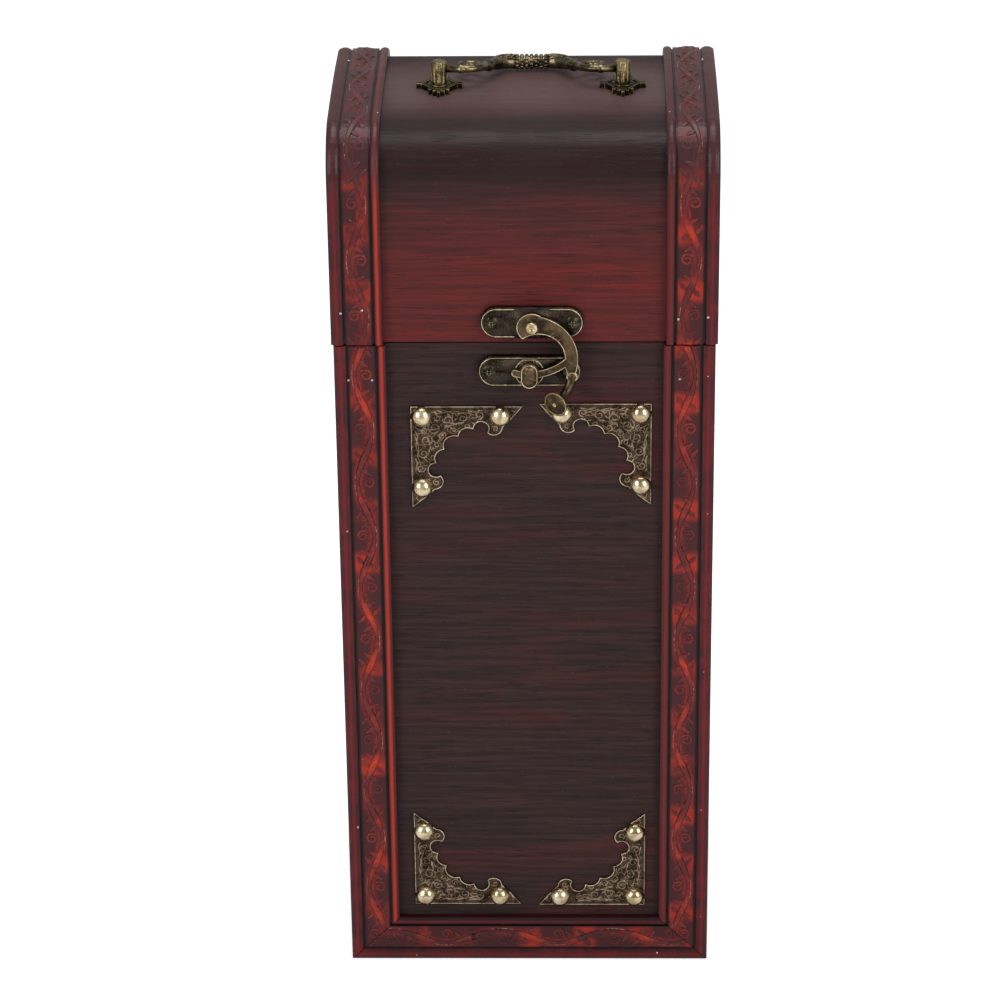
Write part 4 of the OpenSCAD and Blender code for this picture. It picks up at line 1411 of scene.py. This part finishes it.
@dataclass
class CornerBrackets:
    """Four stamped corner plates with a thin raised rim and scrolls, in millimetres."""

    rim: float = 0.17
    stroke_r: float = 0.24
    squash: float = 0.75
    fern_count: int = 90
    scrolls: tuple[tuple[float, float, float, float, float, int], ...] = (
        (8.6, 8.6, 2.6, 225, 1.5, 1),
        (13.6, 5.6, 2.3, 120, 1.4, -1),
        (19.2, 4.4, 2.1, 200, 1.4, 1),
        (25.2, 3.4, 1.7, 100, 1.3, -1),
        (11.2, 11.6, 1.3, 45, 1.0, 1),
        (15.6, 9.6, 1.5, 60, 1.2, 1),
        (20.6, 8.0, 1.1, 20, 1.1, -1),
        (31.0, 9.0, 1.3, 200, 1.2, 1),
        (4.6, 9.8, 1.3, 250, 1.2, 1),
    )
    strokes: tuple[tuple[tuple[float, float], ...], ...] = (
        ((1.4, 12.0), (2.6, 16.0), (2.2, 20.0), (3.4, 24.0)),
        ((9.5, 1.3), (12.0, 2.4), (15.5, 1.6), (18.5, 2.2)),
        ((21.0, 1.4), (23.0, 2.0), (26.5, 1.4)),
        ((6.0, 12.8), (7.0, 16.0), (6.2, 19.6)),
        ((16.4, 7.2), (17.8, 6.4), (19.0, 7.0)),
        ((22.2, 6.4), (23.8, 6.8), (24.8, 5.6)),
        ((37.0, 1.4), (38.6, 2.0), (37.4, 3.8)),
        ((8.6, 1.6), (9.8, 4.0), (11.6, 3.8)),
    )

    def build(self) -> None:
        """Builds the four brackets and their scrolls."""
        relief = self.relief()
        for height, flip_z in (("upper", -1), ("lower", 1)):
            for hand, flip_x in (("left", 1), ("right", -1)):
                node = f"bracket_{height}_{hand}"
                low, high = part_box(node)
                plate = with_rims(node, node + "_plate", self.rim)
                corner = Vector((low.x if flip_x > 0 else high.x, low.y, low.z if flip_z > 0 else high.z))
                scrolls = copy_of(relief, node + "_scrolls")
                axes = Matrix((
                    (flip_x, 0, 0, corner.x), (0, 0, -1, corner.y), (0, flip_z, 0, corner.z), (0, 0, 0, 1),
                ))
                outward(moved(scrolls, axes))
                placed(plate, Body.CASE, Slot.BRASS, STAMPED, RUBBED)
                placed(scrolls, Body.CASE, Slot.BRASS, SCROLL_BRASS)
        discard(relief)

    def relief(self) -> bpy.types.Object:
        """Builds the scrolls of one plate, from its corner along the two legs."""
        pieces = []
        count = 14
        for mirrored in (False, True):
            for a, b, r, start, turns, way in self.scrolls:
                if a != b or mirrored:
                    points = spiral((a, b), r, start, way * turns, 0.75, count)
                    radii = [self.stroke_r * (1 - 0.3 * (i / count)) for i in range(count + 1)]
                    pieces.append(self.stroke(points, radii, mirrored))
            for line in self.strokes:
                swell = [math.sin(math.pi * (i + 0.5) / len(line)) for i in range(len(line))]
                radii = [self.stroke_r * (0.7 + 0.5 * s) for s in swell]
                pieces.append(self.stroke(list(line), radii, mirrored))
        return joined(pieces + self.ferns(), "bracket_relief")

    def stroke(self, points: Spots, radii: list[float], mirrored: bool = False) -> bpy.types.Object:
        """Makes one raised stroke of the stamping, along one leg or mirrored along the other."""
        return stroke([(b, a) for a, b in points] if mirrored else points, radii, self.squash)

    def ferns(self) -> list[bpy.types.Object]:
        """Makes the fine bent strokes between the scrolls, where the plate is under them."""
        low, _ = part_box("bracket_lower_left")
        dice = random.Random(11)
        pieces = []
        while len(pieces) < self.fern_count:
            a, b = dice.uniform(1.6, 34), dice.uniform(1.4, 16)
            angle, bend = dice.uniform(0, 6.28), dice.uniform(-0.9, 0.9)
            if dice.random() < 0.5:
                a, b = b, a
            points = [(a, b)]
            for _ in range(4):
                a, b, angle = a + 0.55 * math.cos(angle), b + 0.55 * math.sin(angle), angle + bend * 0.55
                points.append((a, b))
            if self.on_plate(points, low):
                pieces.append(self.stroke(points, [0.1, 0.15, 0.17, 0.15, 0.1]))
        return pieces

    @staticmethod
    def on_plate(points: Spots, low: Vector) -> bool:
        """Looks whether the plate is under a stroke and a little past it.

        Args:
            points: Places from the plate's corner along its two legs.
            low: The plate's lowest corner, in metres.

        Returns:
            Whether it is.
        """
        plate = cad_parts["bracket_lower_left"]
        around = ((0.5, 0), (-0.5, 0), (0, 0.5), (0, -0.5))
        for x, z in [(x + dx, z + dz) for x, z in points for dx, dz in around]:
            start = Vector((low.x + x * MM, low.y - 0.01, low.z + z * MM))
            if not plate.ray_cast(start, Vector((0, 1, 0)), distance=0.0102)[0]:
                return False
        return True


@dataclass
class BracketNails:
    """Twelve domed nails, three to a bracket, in millimetres."""

    radius: float = 4.1
    dome: float = 3.5
    spacing: float = 9.0

    def build(self) -> None:
        """Builds the domes where the CAD nails are."""
        nail = self.nail()
        copies = []
        for i, place in enumerate(self.places()):
            twin = copy_of(nail, f"nail_{i}")
            copies.append(moved(twin, Matrix.Translation(place) @ Matrix.Rotation(math.pi / 2, 4, "X")))
        discard(nail)
        piece = smooth(joined(copies, "domed_nails"), 50)
        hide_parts("bracket_nails")
        placed(piece, Body.CASE, Slot.BRIGHT, NAIL_BRASS)

    def places(self) -> list[tuple[float, float, float]]:
        """Finds the seats of the nails from the CAD node's separate domes."""
        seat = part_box("bracket_nails")[0].y + self.dome * MM
        groups: list[Spots] = []
        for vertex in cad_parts["bracket_nails"].data.vertices:
            x, y, z = vertex.co
            if y < seat:
                near = [g for g in groups if math.hypot(x - g[0][0], z - g[0][1]) < self.spacing * MM]
                if near:
                    near[0].append((x, z))
                else:
                    groups.append([(x, z)])
        places = []
        for group in groups:
            xs, zs = [x for x, _ in group], [z for _, z in group]
            places.append(((min(xs) + max(xs)) / 2, seat, (min(zs) + max(zs)) / 2))
        return sorted(places)

    def nail(self) -> bpy.types.Object:
        """Builds one dome, its seat at Z = 0."""
        deselect()
        bpy.ops.mesh.primitive_uv_sphere_add(segments=40, ring_count=28, radius=1.0)
        piece = bpy.context.object
        sphere_r = (self.radius**2 + self.dome**2) / (2 * self.dome)
        piece.scale = (sphere_r * MM,) * 3
        piece.location.z = (self.dome - sphere_r) * MM
        settle(piece)
        cut(piece, Vector((0, 0, 0)), Vector((0, 0, -1)))
        return named(piece, "nail")


def low_dome(radius: float, squash: float, below: float, segments: int, rings: int) -> bpy.types.Object:
    """Makes a small flattened sphere, cut off below its middle.

    Args:
        radius: Its radius, in millimetres.
        squash: Its height as a share of its radius.
        below: How far under the middle it is cut, in millimetres.
        segments: Its corners round Z.
        rings: Its rows of faces.

    Returns:
        The dome.
    """
    deselect()
    bpy.ops.mesh.primitive_uv_sphere_add(segments=segments, ring_count=rings, radius=radius * MM)
    piece = bpy.context.object
    piece.scale.z = squash
    settle(piece)
    cut(piece, Vector((0, 0, -below * MM)), Vector((0, 0, -1)), 1e-7)
    return piece


@dataclass
class Latch:
    """Swing-hook latch: two plates, the hook, its rivet and four screws, in millimetres."""

    edge: float = 0.17
    screw_edge: float = 0.12
    saddle_half: float = 9.0
    tongue_depth: float = 1.6
    knob_axis: tuple[float, float, float] = (-0.5254, -0.8442, -0.1069)
    knob_face: tuple[float, float, float] = (11.375, -13.884, 246.569)
    knob_r: float = 4.35
    knob_rim_r: float = 0.2
    boss_r: float = 2.7

    def build(self) -> None:
        """Builds each piece from its CAD node with rubbed rims or rolled edges."""
        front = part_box("catch_plate")[0].y + self.tongue_depth * MM
        for node, body, planes, bare in (
            ("hook_plate", Body.LID, 1, self.saddle_half),
            ("catch_plate", Body.CASE, 3, 0.0),
        ):
            piece = with_rims(node, node + "_rimmed", self.edge, planes, bare)
            painted(piece, PLATE_BRASS, RUBBED, HOOK_BRASS)
            for face in piece.data.polygons:
                if face.material_index == 0 and face.center.y < front:
                    face.material_index = 2
            placed(piece, body, Slot.BRASS)
        self.knob_rim()
        hook = with_rims("swing_hook", "swing_hook_rimmed", self.edge)
        placed(hook, Body.HOOK, Slot.BRASS, HOOK_BRASS, RUBBED)
        refined("hook_rivet", "_rubbed", 0.25, Body.LID, Slot.BRIGHT, (NAIL_BRASS, RUBBED))
        for node, body in (("hook_plate_screws", Body.LID), ("catch_screws", Body.CASE)):
            piece = with_rims(node, node + "_rubbed", self.screw_edge, 2)
            placed(piece, body, Slot.SCREWS, SCREW_METAL, SCREW_EDGE)

    def knob_rim(self) -> None:
        """Builds the knob's rolled rim and the low boss inside it."""
        x, y, z = self.knob_face
        face = Vector((x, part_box("front_panel")[0].y / MM + y, z)) * MM
        turn = Vector(self.knob_axis).to_track_quat("Z", "Y").to_matrix().to_4x4()
        deselect()
        bpy.ops.mesh.primitive_torus_add(
            major_segments=40, minor_segments=8,
            major_radius=self.knob_r * MM, minor_radius=self.knob_rim_r * MM,
        )
        rim = bpy.context.object
        piece = joined([rim, low_dome(self.boss_r, 0.3, 0.1, 32, 12)], "hook_knob_rim")
        moved(piece, Matrix.Translation(face) @ turn)
        placed(smooth(piece, 40.0), Body.HOOK, Slot.BRASS, KNOB_BRASS)


@dataclass
class Hinges:
    """Two butt hinges with their pins and screws; widths of rolled edges in millimetres."""

    edge: float = 0.2
    screw_edge: float = 0.1

    def build(self) -> None:
        """Builds the leaves, the pins and the screws."""
        screw_look = (Slot.SCREWS, (SCREW_METAL, SCREW_EDGE))
        for side in ("left", "right"):
            for part, body in (("body", Body.CASE), ("lid", Body.LID)):
                leaf = f"{side}_hinge_{part}_leaf"
                refined(leaf, "_rubbed", self.edge, body, Slot.BRASS, (ANTIQUE, RUBBED_DARK))
            refined(f"{side}_hinge_pin", "_turned", self.edge, Body.CASE, *screw_look)
        for node, body in (("hinge_body_screws", Body.CASE), ("hinge_lid_screws", Body.LID)):
            refined(node, "_rubbed", self.screw_edge, body, *screw_look, segments=1)


@dataclass
class Handle:
    """Drop handle: posts, rosettes, nuts and the cast bail, in millimetres and degrees."""

    tilt: float = 12.3079
    pivot_rise: float = 7.2
    pin_end: float = 33.45
    bend_x: float = 25.5
    bend_r: float = 8.0
    bend_a: float = 65.0
    reach: float = 20.8
    barrel_half: float = 6.3
    core_r: float = 2.15
    bead_r: float = 0.78
    arm_r: float = 1.35
    sleeve_r: float = 2.6
    pin_r: float = 1.3
    sleeve: tuple[tuple[float, float], ...] = (
        (0.15, 1.5), (0.3, 1.6), (0.38, 2.2), (0.45, 2.35), (0.52, 2.2), (0.58, 1.75), (0.66, 1.95),
        (0.8, 2.25), (1.0, 2.5),
    )
    leaf_part: tuple[int, int] = (24, 34)
    veins: tuple[tuple[float, float], ...] = ((-66, 0.12), (-30, 0.16), (0, 0.2), (30, 0.16), (66, 0.12))
    volute_root: tuple[tuple[float, float], ...] = ((15.9, 10.3), (17.2, 11.6), (18.5, 12.6))
    volute_circle: tuple[float, float, float] = (22.69, 11.9, 3.6)
    eye_r: float = 1.62

    def build(self) -> None:
        """Builds the handle's pieces."""
        for side in ("left", "right"):
            for part, edge, metal in (("post", 0.18, POST_BRASS), ("rosette", 0.16, PLATE_BRASS)):
                refined(f"{side}_handle_{part}", "_rubbed", edge, Body.LID, Slot.BRASS, (metal, RUBBED_DARK))
        refined("handle_nuts", "_turned", 0.2, Body.LID, Slot.SCREWS, (SCREW_METAL, SCREW_EDGE))
        self.bail()

    def at_rest(self) -> Matrix:
        """Place of the bail's own plane when it lies back on the lid."""
        left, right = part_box("left_handle_post"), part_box("right_handle_post")
        x = (left[0].x + right[1].x) / 2
        y = (left[0].y + left[1].y) / 2
        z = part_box("lid_shell")[1].z + self.pivot_rise * MM
        return Matrix.Translation((x, y, z)) @ Matrix.Rotation(math.radians(-self.tilt), 4, "X")

    def arm_line(self) -> list[tuple[float, float, float]]:
        """Middle line of the right half, from the pivot to the barrel, with the radius at each place."""
        a, r, core = math.radians(self.bend_a), self.bend_r, self.barrel_half
        line = [
            (self.pin_end, 0.0, self.pin_r),
            (self.bend_x + 1.2, 0.0, self.pin_r),
            (self.bend_x + 0.9, 0.0, self.arm_r + 0.3),
            (self.bend_x, 0.0, self.arm_r + 0.35),
        ]
        for i in range(1, 13):
            t = a * i / 12
            line.append((self.bend_x - r * math.sin(t), r * (1 - math.cos(t)), self.arm_r + 0.05))
        end_x, end_y = line[-1][0], line[-1][1]
        k = (1 - math.cos(a)) / math.sin(a)
        run_x, run_y = end_x - core, self.reach - end_y
        run = (run_y - run_x * k) / (math.sin(a) - math.cos(a) * k)
        bend = (run_x - run * math.cos(a)) / math.sin(a)
        for t, radius in self.sleeve:
            line.append((end_x - run * t * math.cos(a), end_y + run * t * math.sin(a), radius))
        for i in range(1, 9):
            t = a * (1 - i / 8)
            line.append((core + bend * math.sin(t), self.reach - bend * (1 - math.cos(t)), self.sleeve_r))
        for past, radius in ((0.2, self.sleeve_r + 0.1), (-0.15, self.sleeve_r + 0.05), (-0.5, 2.2)):
            line.append((core + past, self.reach, radius))
        return line

    def volute(self) -> list[bpy.types.Object]:
        """Makes the C-scroll that leaves the arm's knuckle, with its eye."""
        cx, cy, r = self.volute_circle
        points = list(self.volute_root)
        turns = [math.radians(160 - 13 * i) for i in range(21)]
        points += [(cx + r * math.cos(t), cy + r * math.sin(t)) for t in turns]
        radii = [0.95 + 0.3 * math.sin(math.pi * i / (len(points) - 1)) for i in range(len(points))]
        scroll = stroke(points, radii, name="volute", sides=4)
        deselect()
        x, y = points[-1]
        bpy.ops.mesh.primitive_uv_sphere_add(
            segments=24, ring_count=16, radius=self.eye_r * MM, location=(x * MM, y * MM, 0)
        )
        eye = bpy.context.object
        eye.scale.z = 0.8
        settle(eye)
        bpy.ops.object.shade_smooth()
        return [scroll, eye]

    def leaf_ribs(self) -> list[bpy.types.Object]:
        """Makes the raised veins of the leaf that wraps the sleeve."""
        line = self.arm_line()[slice(*self.leaf_part)]
        last = len(line) - 1
        pieces = []
        for spread, lift in self.veins:
            points, radii = [], []
            for i, (x, y, r) in enumerate(line):
                before, after = line[max(i - 1, 0)], line[min(i + 1, last)]
                tangent = Vector((after[0] - before[0], after[1] - before[1], 0)).normalized()
                side = Vector((-tangent.y, tangent.x, 0))
                swing = math.radians(spread * (0.35 + 0.65 * i / last))
                away = side * math.sin(swing) + Vector((0, 0, 1)) * math.cos(swing)
                points.append((Vector((x, y, 0)) + away * (r + lift - 0.15)) * MM)
                radii.append((0.3 + 0.12 * math.sin(math.pi * i / last)) * MM)
            pieces.append(tube(points, radii, "vein", 1))
        return pieces

    def bail(self) -> None:
        """Builds the cast bail with its leaves, scrolls and beaded barrel."""
        place = self.at_rest()
        line = self.arm_line()
        arm = stroke([(x, y) for x, y, _ in line], [r for _, _, r in line], name="arm", sides=6)
        half = joined([arm, *self.volute(), *self.leaf_ribs()], "bail_half")
        other = copy_of(half, "bail_other_half")
        outward(moved(other, Matrix.Scale(-1, 4, (1, 0, 0))))
        casting = moved(joined([half, other], "bail_casting"), place)
        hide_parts("handle_bail")
        placed(casting, Body.HANDLE, Slot.BRASS, BAIL_BRASS)
        placed(moved(self.barrel(), place), Body.HANDLE, Slot.BRASS, BEAD_BRASS)

    def barrel(self) -> bpy.types.Object:
        """Builds the grip: a core with rows of round beads."""
        deselect()
        length = 2 * self.barrel_half * MM
        bpy.ops.mesh.primitive_cylinder_add(vertices=32, radius=self.core_r * MM, depth=length)
        core = bpy.context.object
        core.matrix_world = Matrix.Translation((0, self.reach * MM, 0)) @ Matrix.Rotation(math.pi / 2, 4, "Y")
        settle(core)
        deselect()
        bpy.ops.mesh.primitive_ico_sphere_add(subdivisions=2, radius=self.bead_r * MM)
        bead = bpy.context.object
        bpy.ops.object.shade_smooth()
        rows, around = 7, 10
        pieces = [core]
        for row in range(rows):
            x = (row + 0.5) * 2 * self.barrel_half / rows - self.barrel_half
            for i in range(around):
                t = FULL_TURN * (i + 0.5 * (row % 2)) / around
                twin = copy_of(bead, "bead")
                y, z = self.reach + self.core_r * math.cos(t), self.core_r * math.sin(t)
                twin.location = (x * MM, y * MM, z * MM)
                pieces.append(settle(twin))
        discard(bead)
        return joined(pieces, "bail_barrel")


@dataclass
class Brads:
    """Small brads that pin the mouldings, in millimetres from the front's middle at the seam."""

    radius: float = 0.5
    sunk: float = 0.25
    on_stiles: tuple[tuple[float, float], ...] = (
        (-64.7, -13.5), (-56.1, -13.5), (-67.0, -75.6), (-66.3, -204.4), (57.0, -13.3), (67.3, -12.1),
        (67.8, -68.4), (67.3, -135.6), (67.2, -196.5), (67.4, -245.0), (-44.5, -263.0), (50.4, -262.0),
    )
    on_lid: tuple[tuple[float, float], ...] = (
        (-66.9, 12.7), (-59.1, 13.9), (67.0, 10.8), (56.2, 10.1),
        (-66.0, 150.0), (66.2, 150.0), (-52.8, 96.0), (52.9, 96.0),
    )

    def build(self) -> None:
        """Builds the brads of the case and of the lid."""
        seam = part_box("front_panel")[1].z
        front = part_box("front_left_stile")[0].y + self.sunk * MM
        spots = [(Vector((x * MM, front, seam + z * MM)), math.pi) for x, z in self.on_stiles]
        self.row(spots, "stile_brads", Body.CASE)
        spots = []
        for x, s in self.on_lid:
            y, z, a = LID.point(s, self.sunk)
            spots.append((Vector((x * MM, (y + LID.middle) * MM, seam + z * MM)), a))
        self.row(spots, "lid_brads", Body.LID)

    def row(self, spots: list[tuple[Vector, float]], name: str, body: Body) -> None:
        """Builds one piece of several brads.

        Args:
            spots: The place of each brad and its outward angle about X.
            name: The name of the piece.
            body: What it rides on.
        """
        brad = low_dome(self.radius, 0.5, 0.08, 12, 8)
        bpy.ops.object.shade_smooth()
        pieces = []
        for place, angle in spots:
            turn = Matrix.Rotation(angle - math.pi / 2, 4, "X")
            pieces.append(moved(copy_of(brad, "brad"), Matrix.Translation(place) @ turn))
        discard(brad)
        placed(joined(pieces, name), body, Slot.SCREWS, BRAD_STEEL)


# ---------------------------------------------------------------------------
# Studio
# ---------------------------------------------------------------------------


@dataclass
class Studio:
    """Pale floor, soft light and the camera; the camera's place in millimetres from the front."""

    lens: float = 141.05
    place: tuple[float, float, float] = (21.1, -1310.0, 847.0)
    pitch: float = 26.19
    yaw: float = 1.34
    roll: float = -0.66
    aim: tuple[float, float, float] = (0, 0, 0.2)
    floor_glow: float = 0.5
    sky_seen: float = 1.0
    sky_light: float = 0.4
    boxes: tuple[tuple[str, tuple[float, float, float], tuple[float, float], float], ...] = (
        ("left_box", (-0.9, -0.9, 0.75), (0.6, 1.0), 7.0),
        ("right_box", (0.9, -0.9, 0.75), (0.6, 1.0), 7.5),
        ("top_box", (0.0, 0.15, 1.35), (0.8, 0.7), 7.0),
    )

    def camera(self) -> None:
        """Puts the camera where the photograph was taken from, measured from the front mouldings."""
        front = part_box("front_left_stile")[0].y
        p, y, r = (math.radians(v) for v in (self.pitch, self.yaw, self.roll))
        turn = Matrix.Rotation(y, 3, "Z")
        ahead = turn @ Vector((0, math.cos(p), -math.sin(p)))
        right = turn @ Vector((1, 0, 0))
        up = turn @ Vector((0, math.sin(p), math.cos(p)))
        side = math.cos(r) * right + math.sin(r) * up
        top = -math.sin(r) * right + math.cos(r) * up
        place = Vector((self.place[0] * MM, front + self.place[1] * MM, self.place[2] * MM))
        deselect()
        bpy.ops.object.camera_add()
        camera = bpy.context.object
        camera.name = "camera"
        camera.data.lens = self.lens
        camera.data.sensor_width = 36.0
        camera.data.clip_start, camera.data.clip_end = 0.05, 20.0
        camera.matrix_world = Matrix((
            (side.x, top.x, -ahead.x, place.x),
            (side.y, top.y, -ahead.y, place.y),
            (side.z, top.z, -ahead.z, place.z),
            (0, 0, 0, 1),
        ))
        bpy.context.scene.camera = camera

    def softbox(
        self, name: str, place: tuple[float, float, float], size: tuple[float, float], watts: float
    ) -> None:
        """Adds a soft lamp that faces the box.

        Args:
            name: The lamp's name.
            place: Where it stands, in metres.
            size: Its width and height, in metres.
            watts: Its power.
        """
        deselect()
        bpy.ops.object.light_add(type="AREA", location=place)
        lamp = bpy.context.object
        lamp.name = name
        lamp.data.shape = "RECTANGLE"
        lamp.data.size, lamp.data.size_y = size
        lamp.data.energy = watts
        lamp.rotation_euler = (Vector(self.aim) - Vector(place)).to_track_quat("-Z", "Y").to_euler()

    def floor(self) -> None:
        """Adds a wide pale floor that shows white to the camera and keeps the shadow."""
        deselect()
        bpy.ops.mesh.primitive_plane_add(size=8.0, location=(0, 0, -0.0002))
        piece = named(bpy.context.object, "floor")
        material = bpy.data.materials.new("floor_white")
        material.use_nodes = True
        w = Wiring(material.node_tree)
        seen = w.add("ShaderNodeLightPath").outputs["Is Camera Ray"]
        w.fill(
            material.node_tree.nodes["Principled BSDF"], Base_Color=(0.93, 0.93, 0.93, 1), Roughness=0.6,
            Emission_Color=(1, 1, 1, 1), Emission_Strength=w.times(seen, self.floor_glow),
        )
        piece.data.materials.append(material)

    def light(self) -> None:
        """Sets the world, the lamps and the view transform."""
        scene = bpy.context.scene
        scene.view_settings.view_transform = "Standard"
        world = bpy.data.worlds.new("studio")
        scene.world = world
        world.use_nodes = True
        w = Wiring(world.node_tree)
        world.node_tree.nodes.clear()
        seen = w.add("ShaderNodeLightPath").outputs["Is Camera Ray"]
        strength = w.plus(w.times(seen, self.sky_seen - self.sky_light), self.sky_light)
        back = w.fill(w.add("ShaderNodeBackground"), Color=(1, 1, 1, 1), Strength=strength)
        w.fill(w.add("ShaderNodeOutputWorld"), Surface=back[0])
        for name, place, size, watts in self.boxes:
            self.softbox(name, place, size, watts)

    def build(self) -> None:
        """Builds the studio."""
        self.camera()
        self.floor()
        self.light()


def main() -> None:
    """Builds the box, piece by piece, and its studio."""
    logging.basicConfig(level=logging.INFO, format="%(name)s: %(message)s")
    random.seed(7)
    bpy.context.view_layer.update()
    Studio().build()
    Boards().dress()
    VineTrim().build()
    CornerBrackets().build()
    BracketNails().build()
    Latch().build()
    Hinges().build()
    Handle().build()
    Brads().build()


if __name__ == "__main__":
    main()
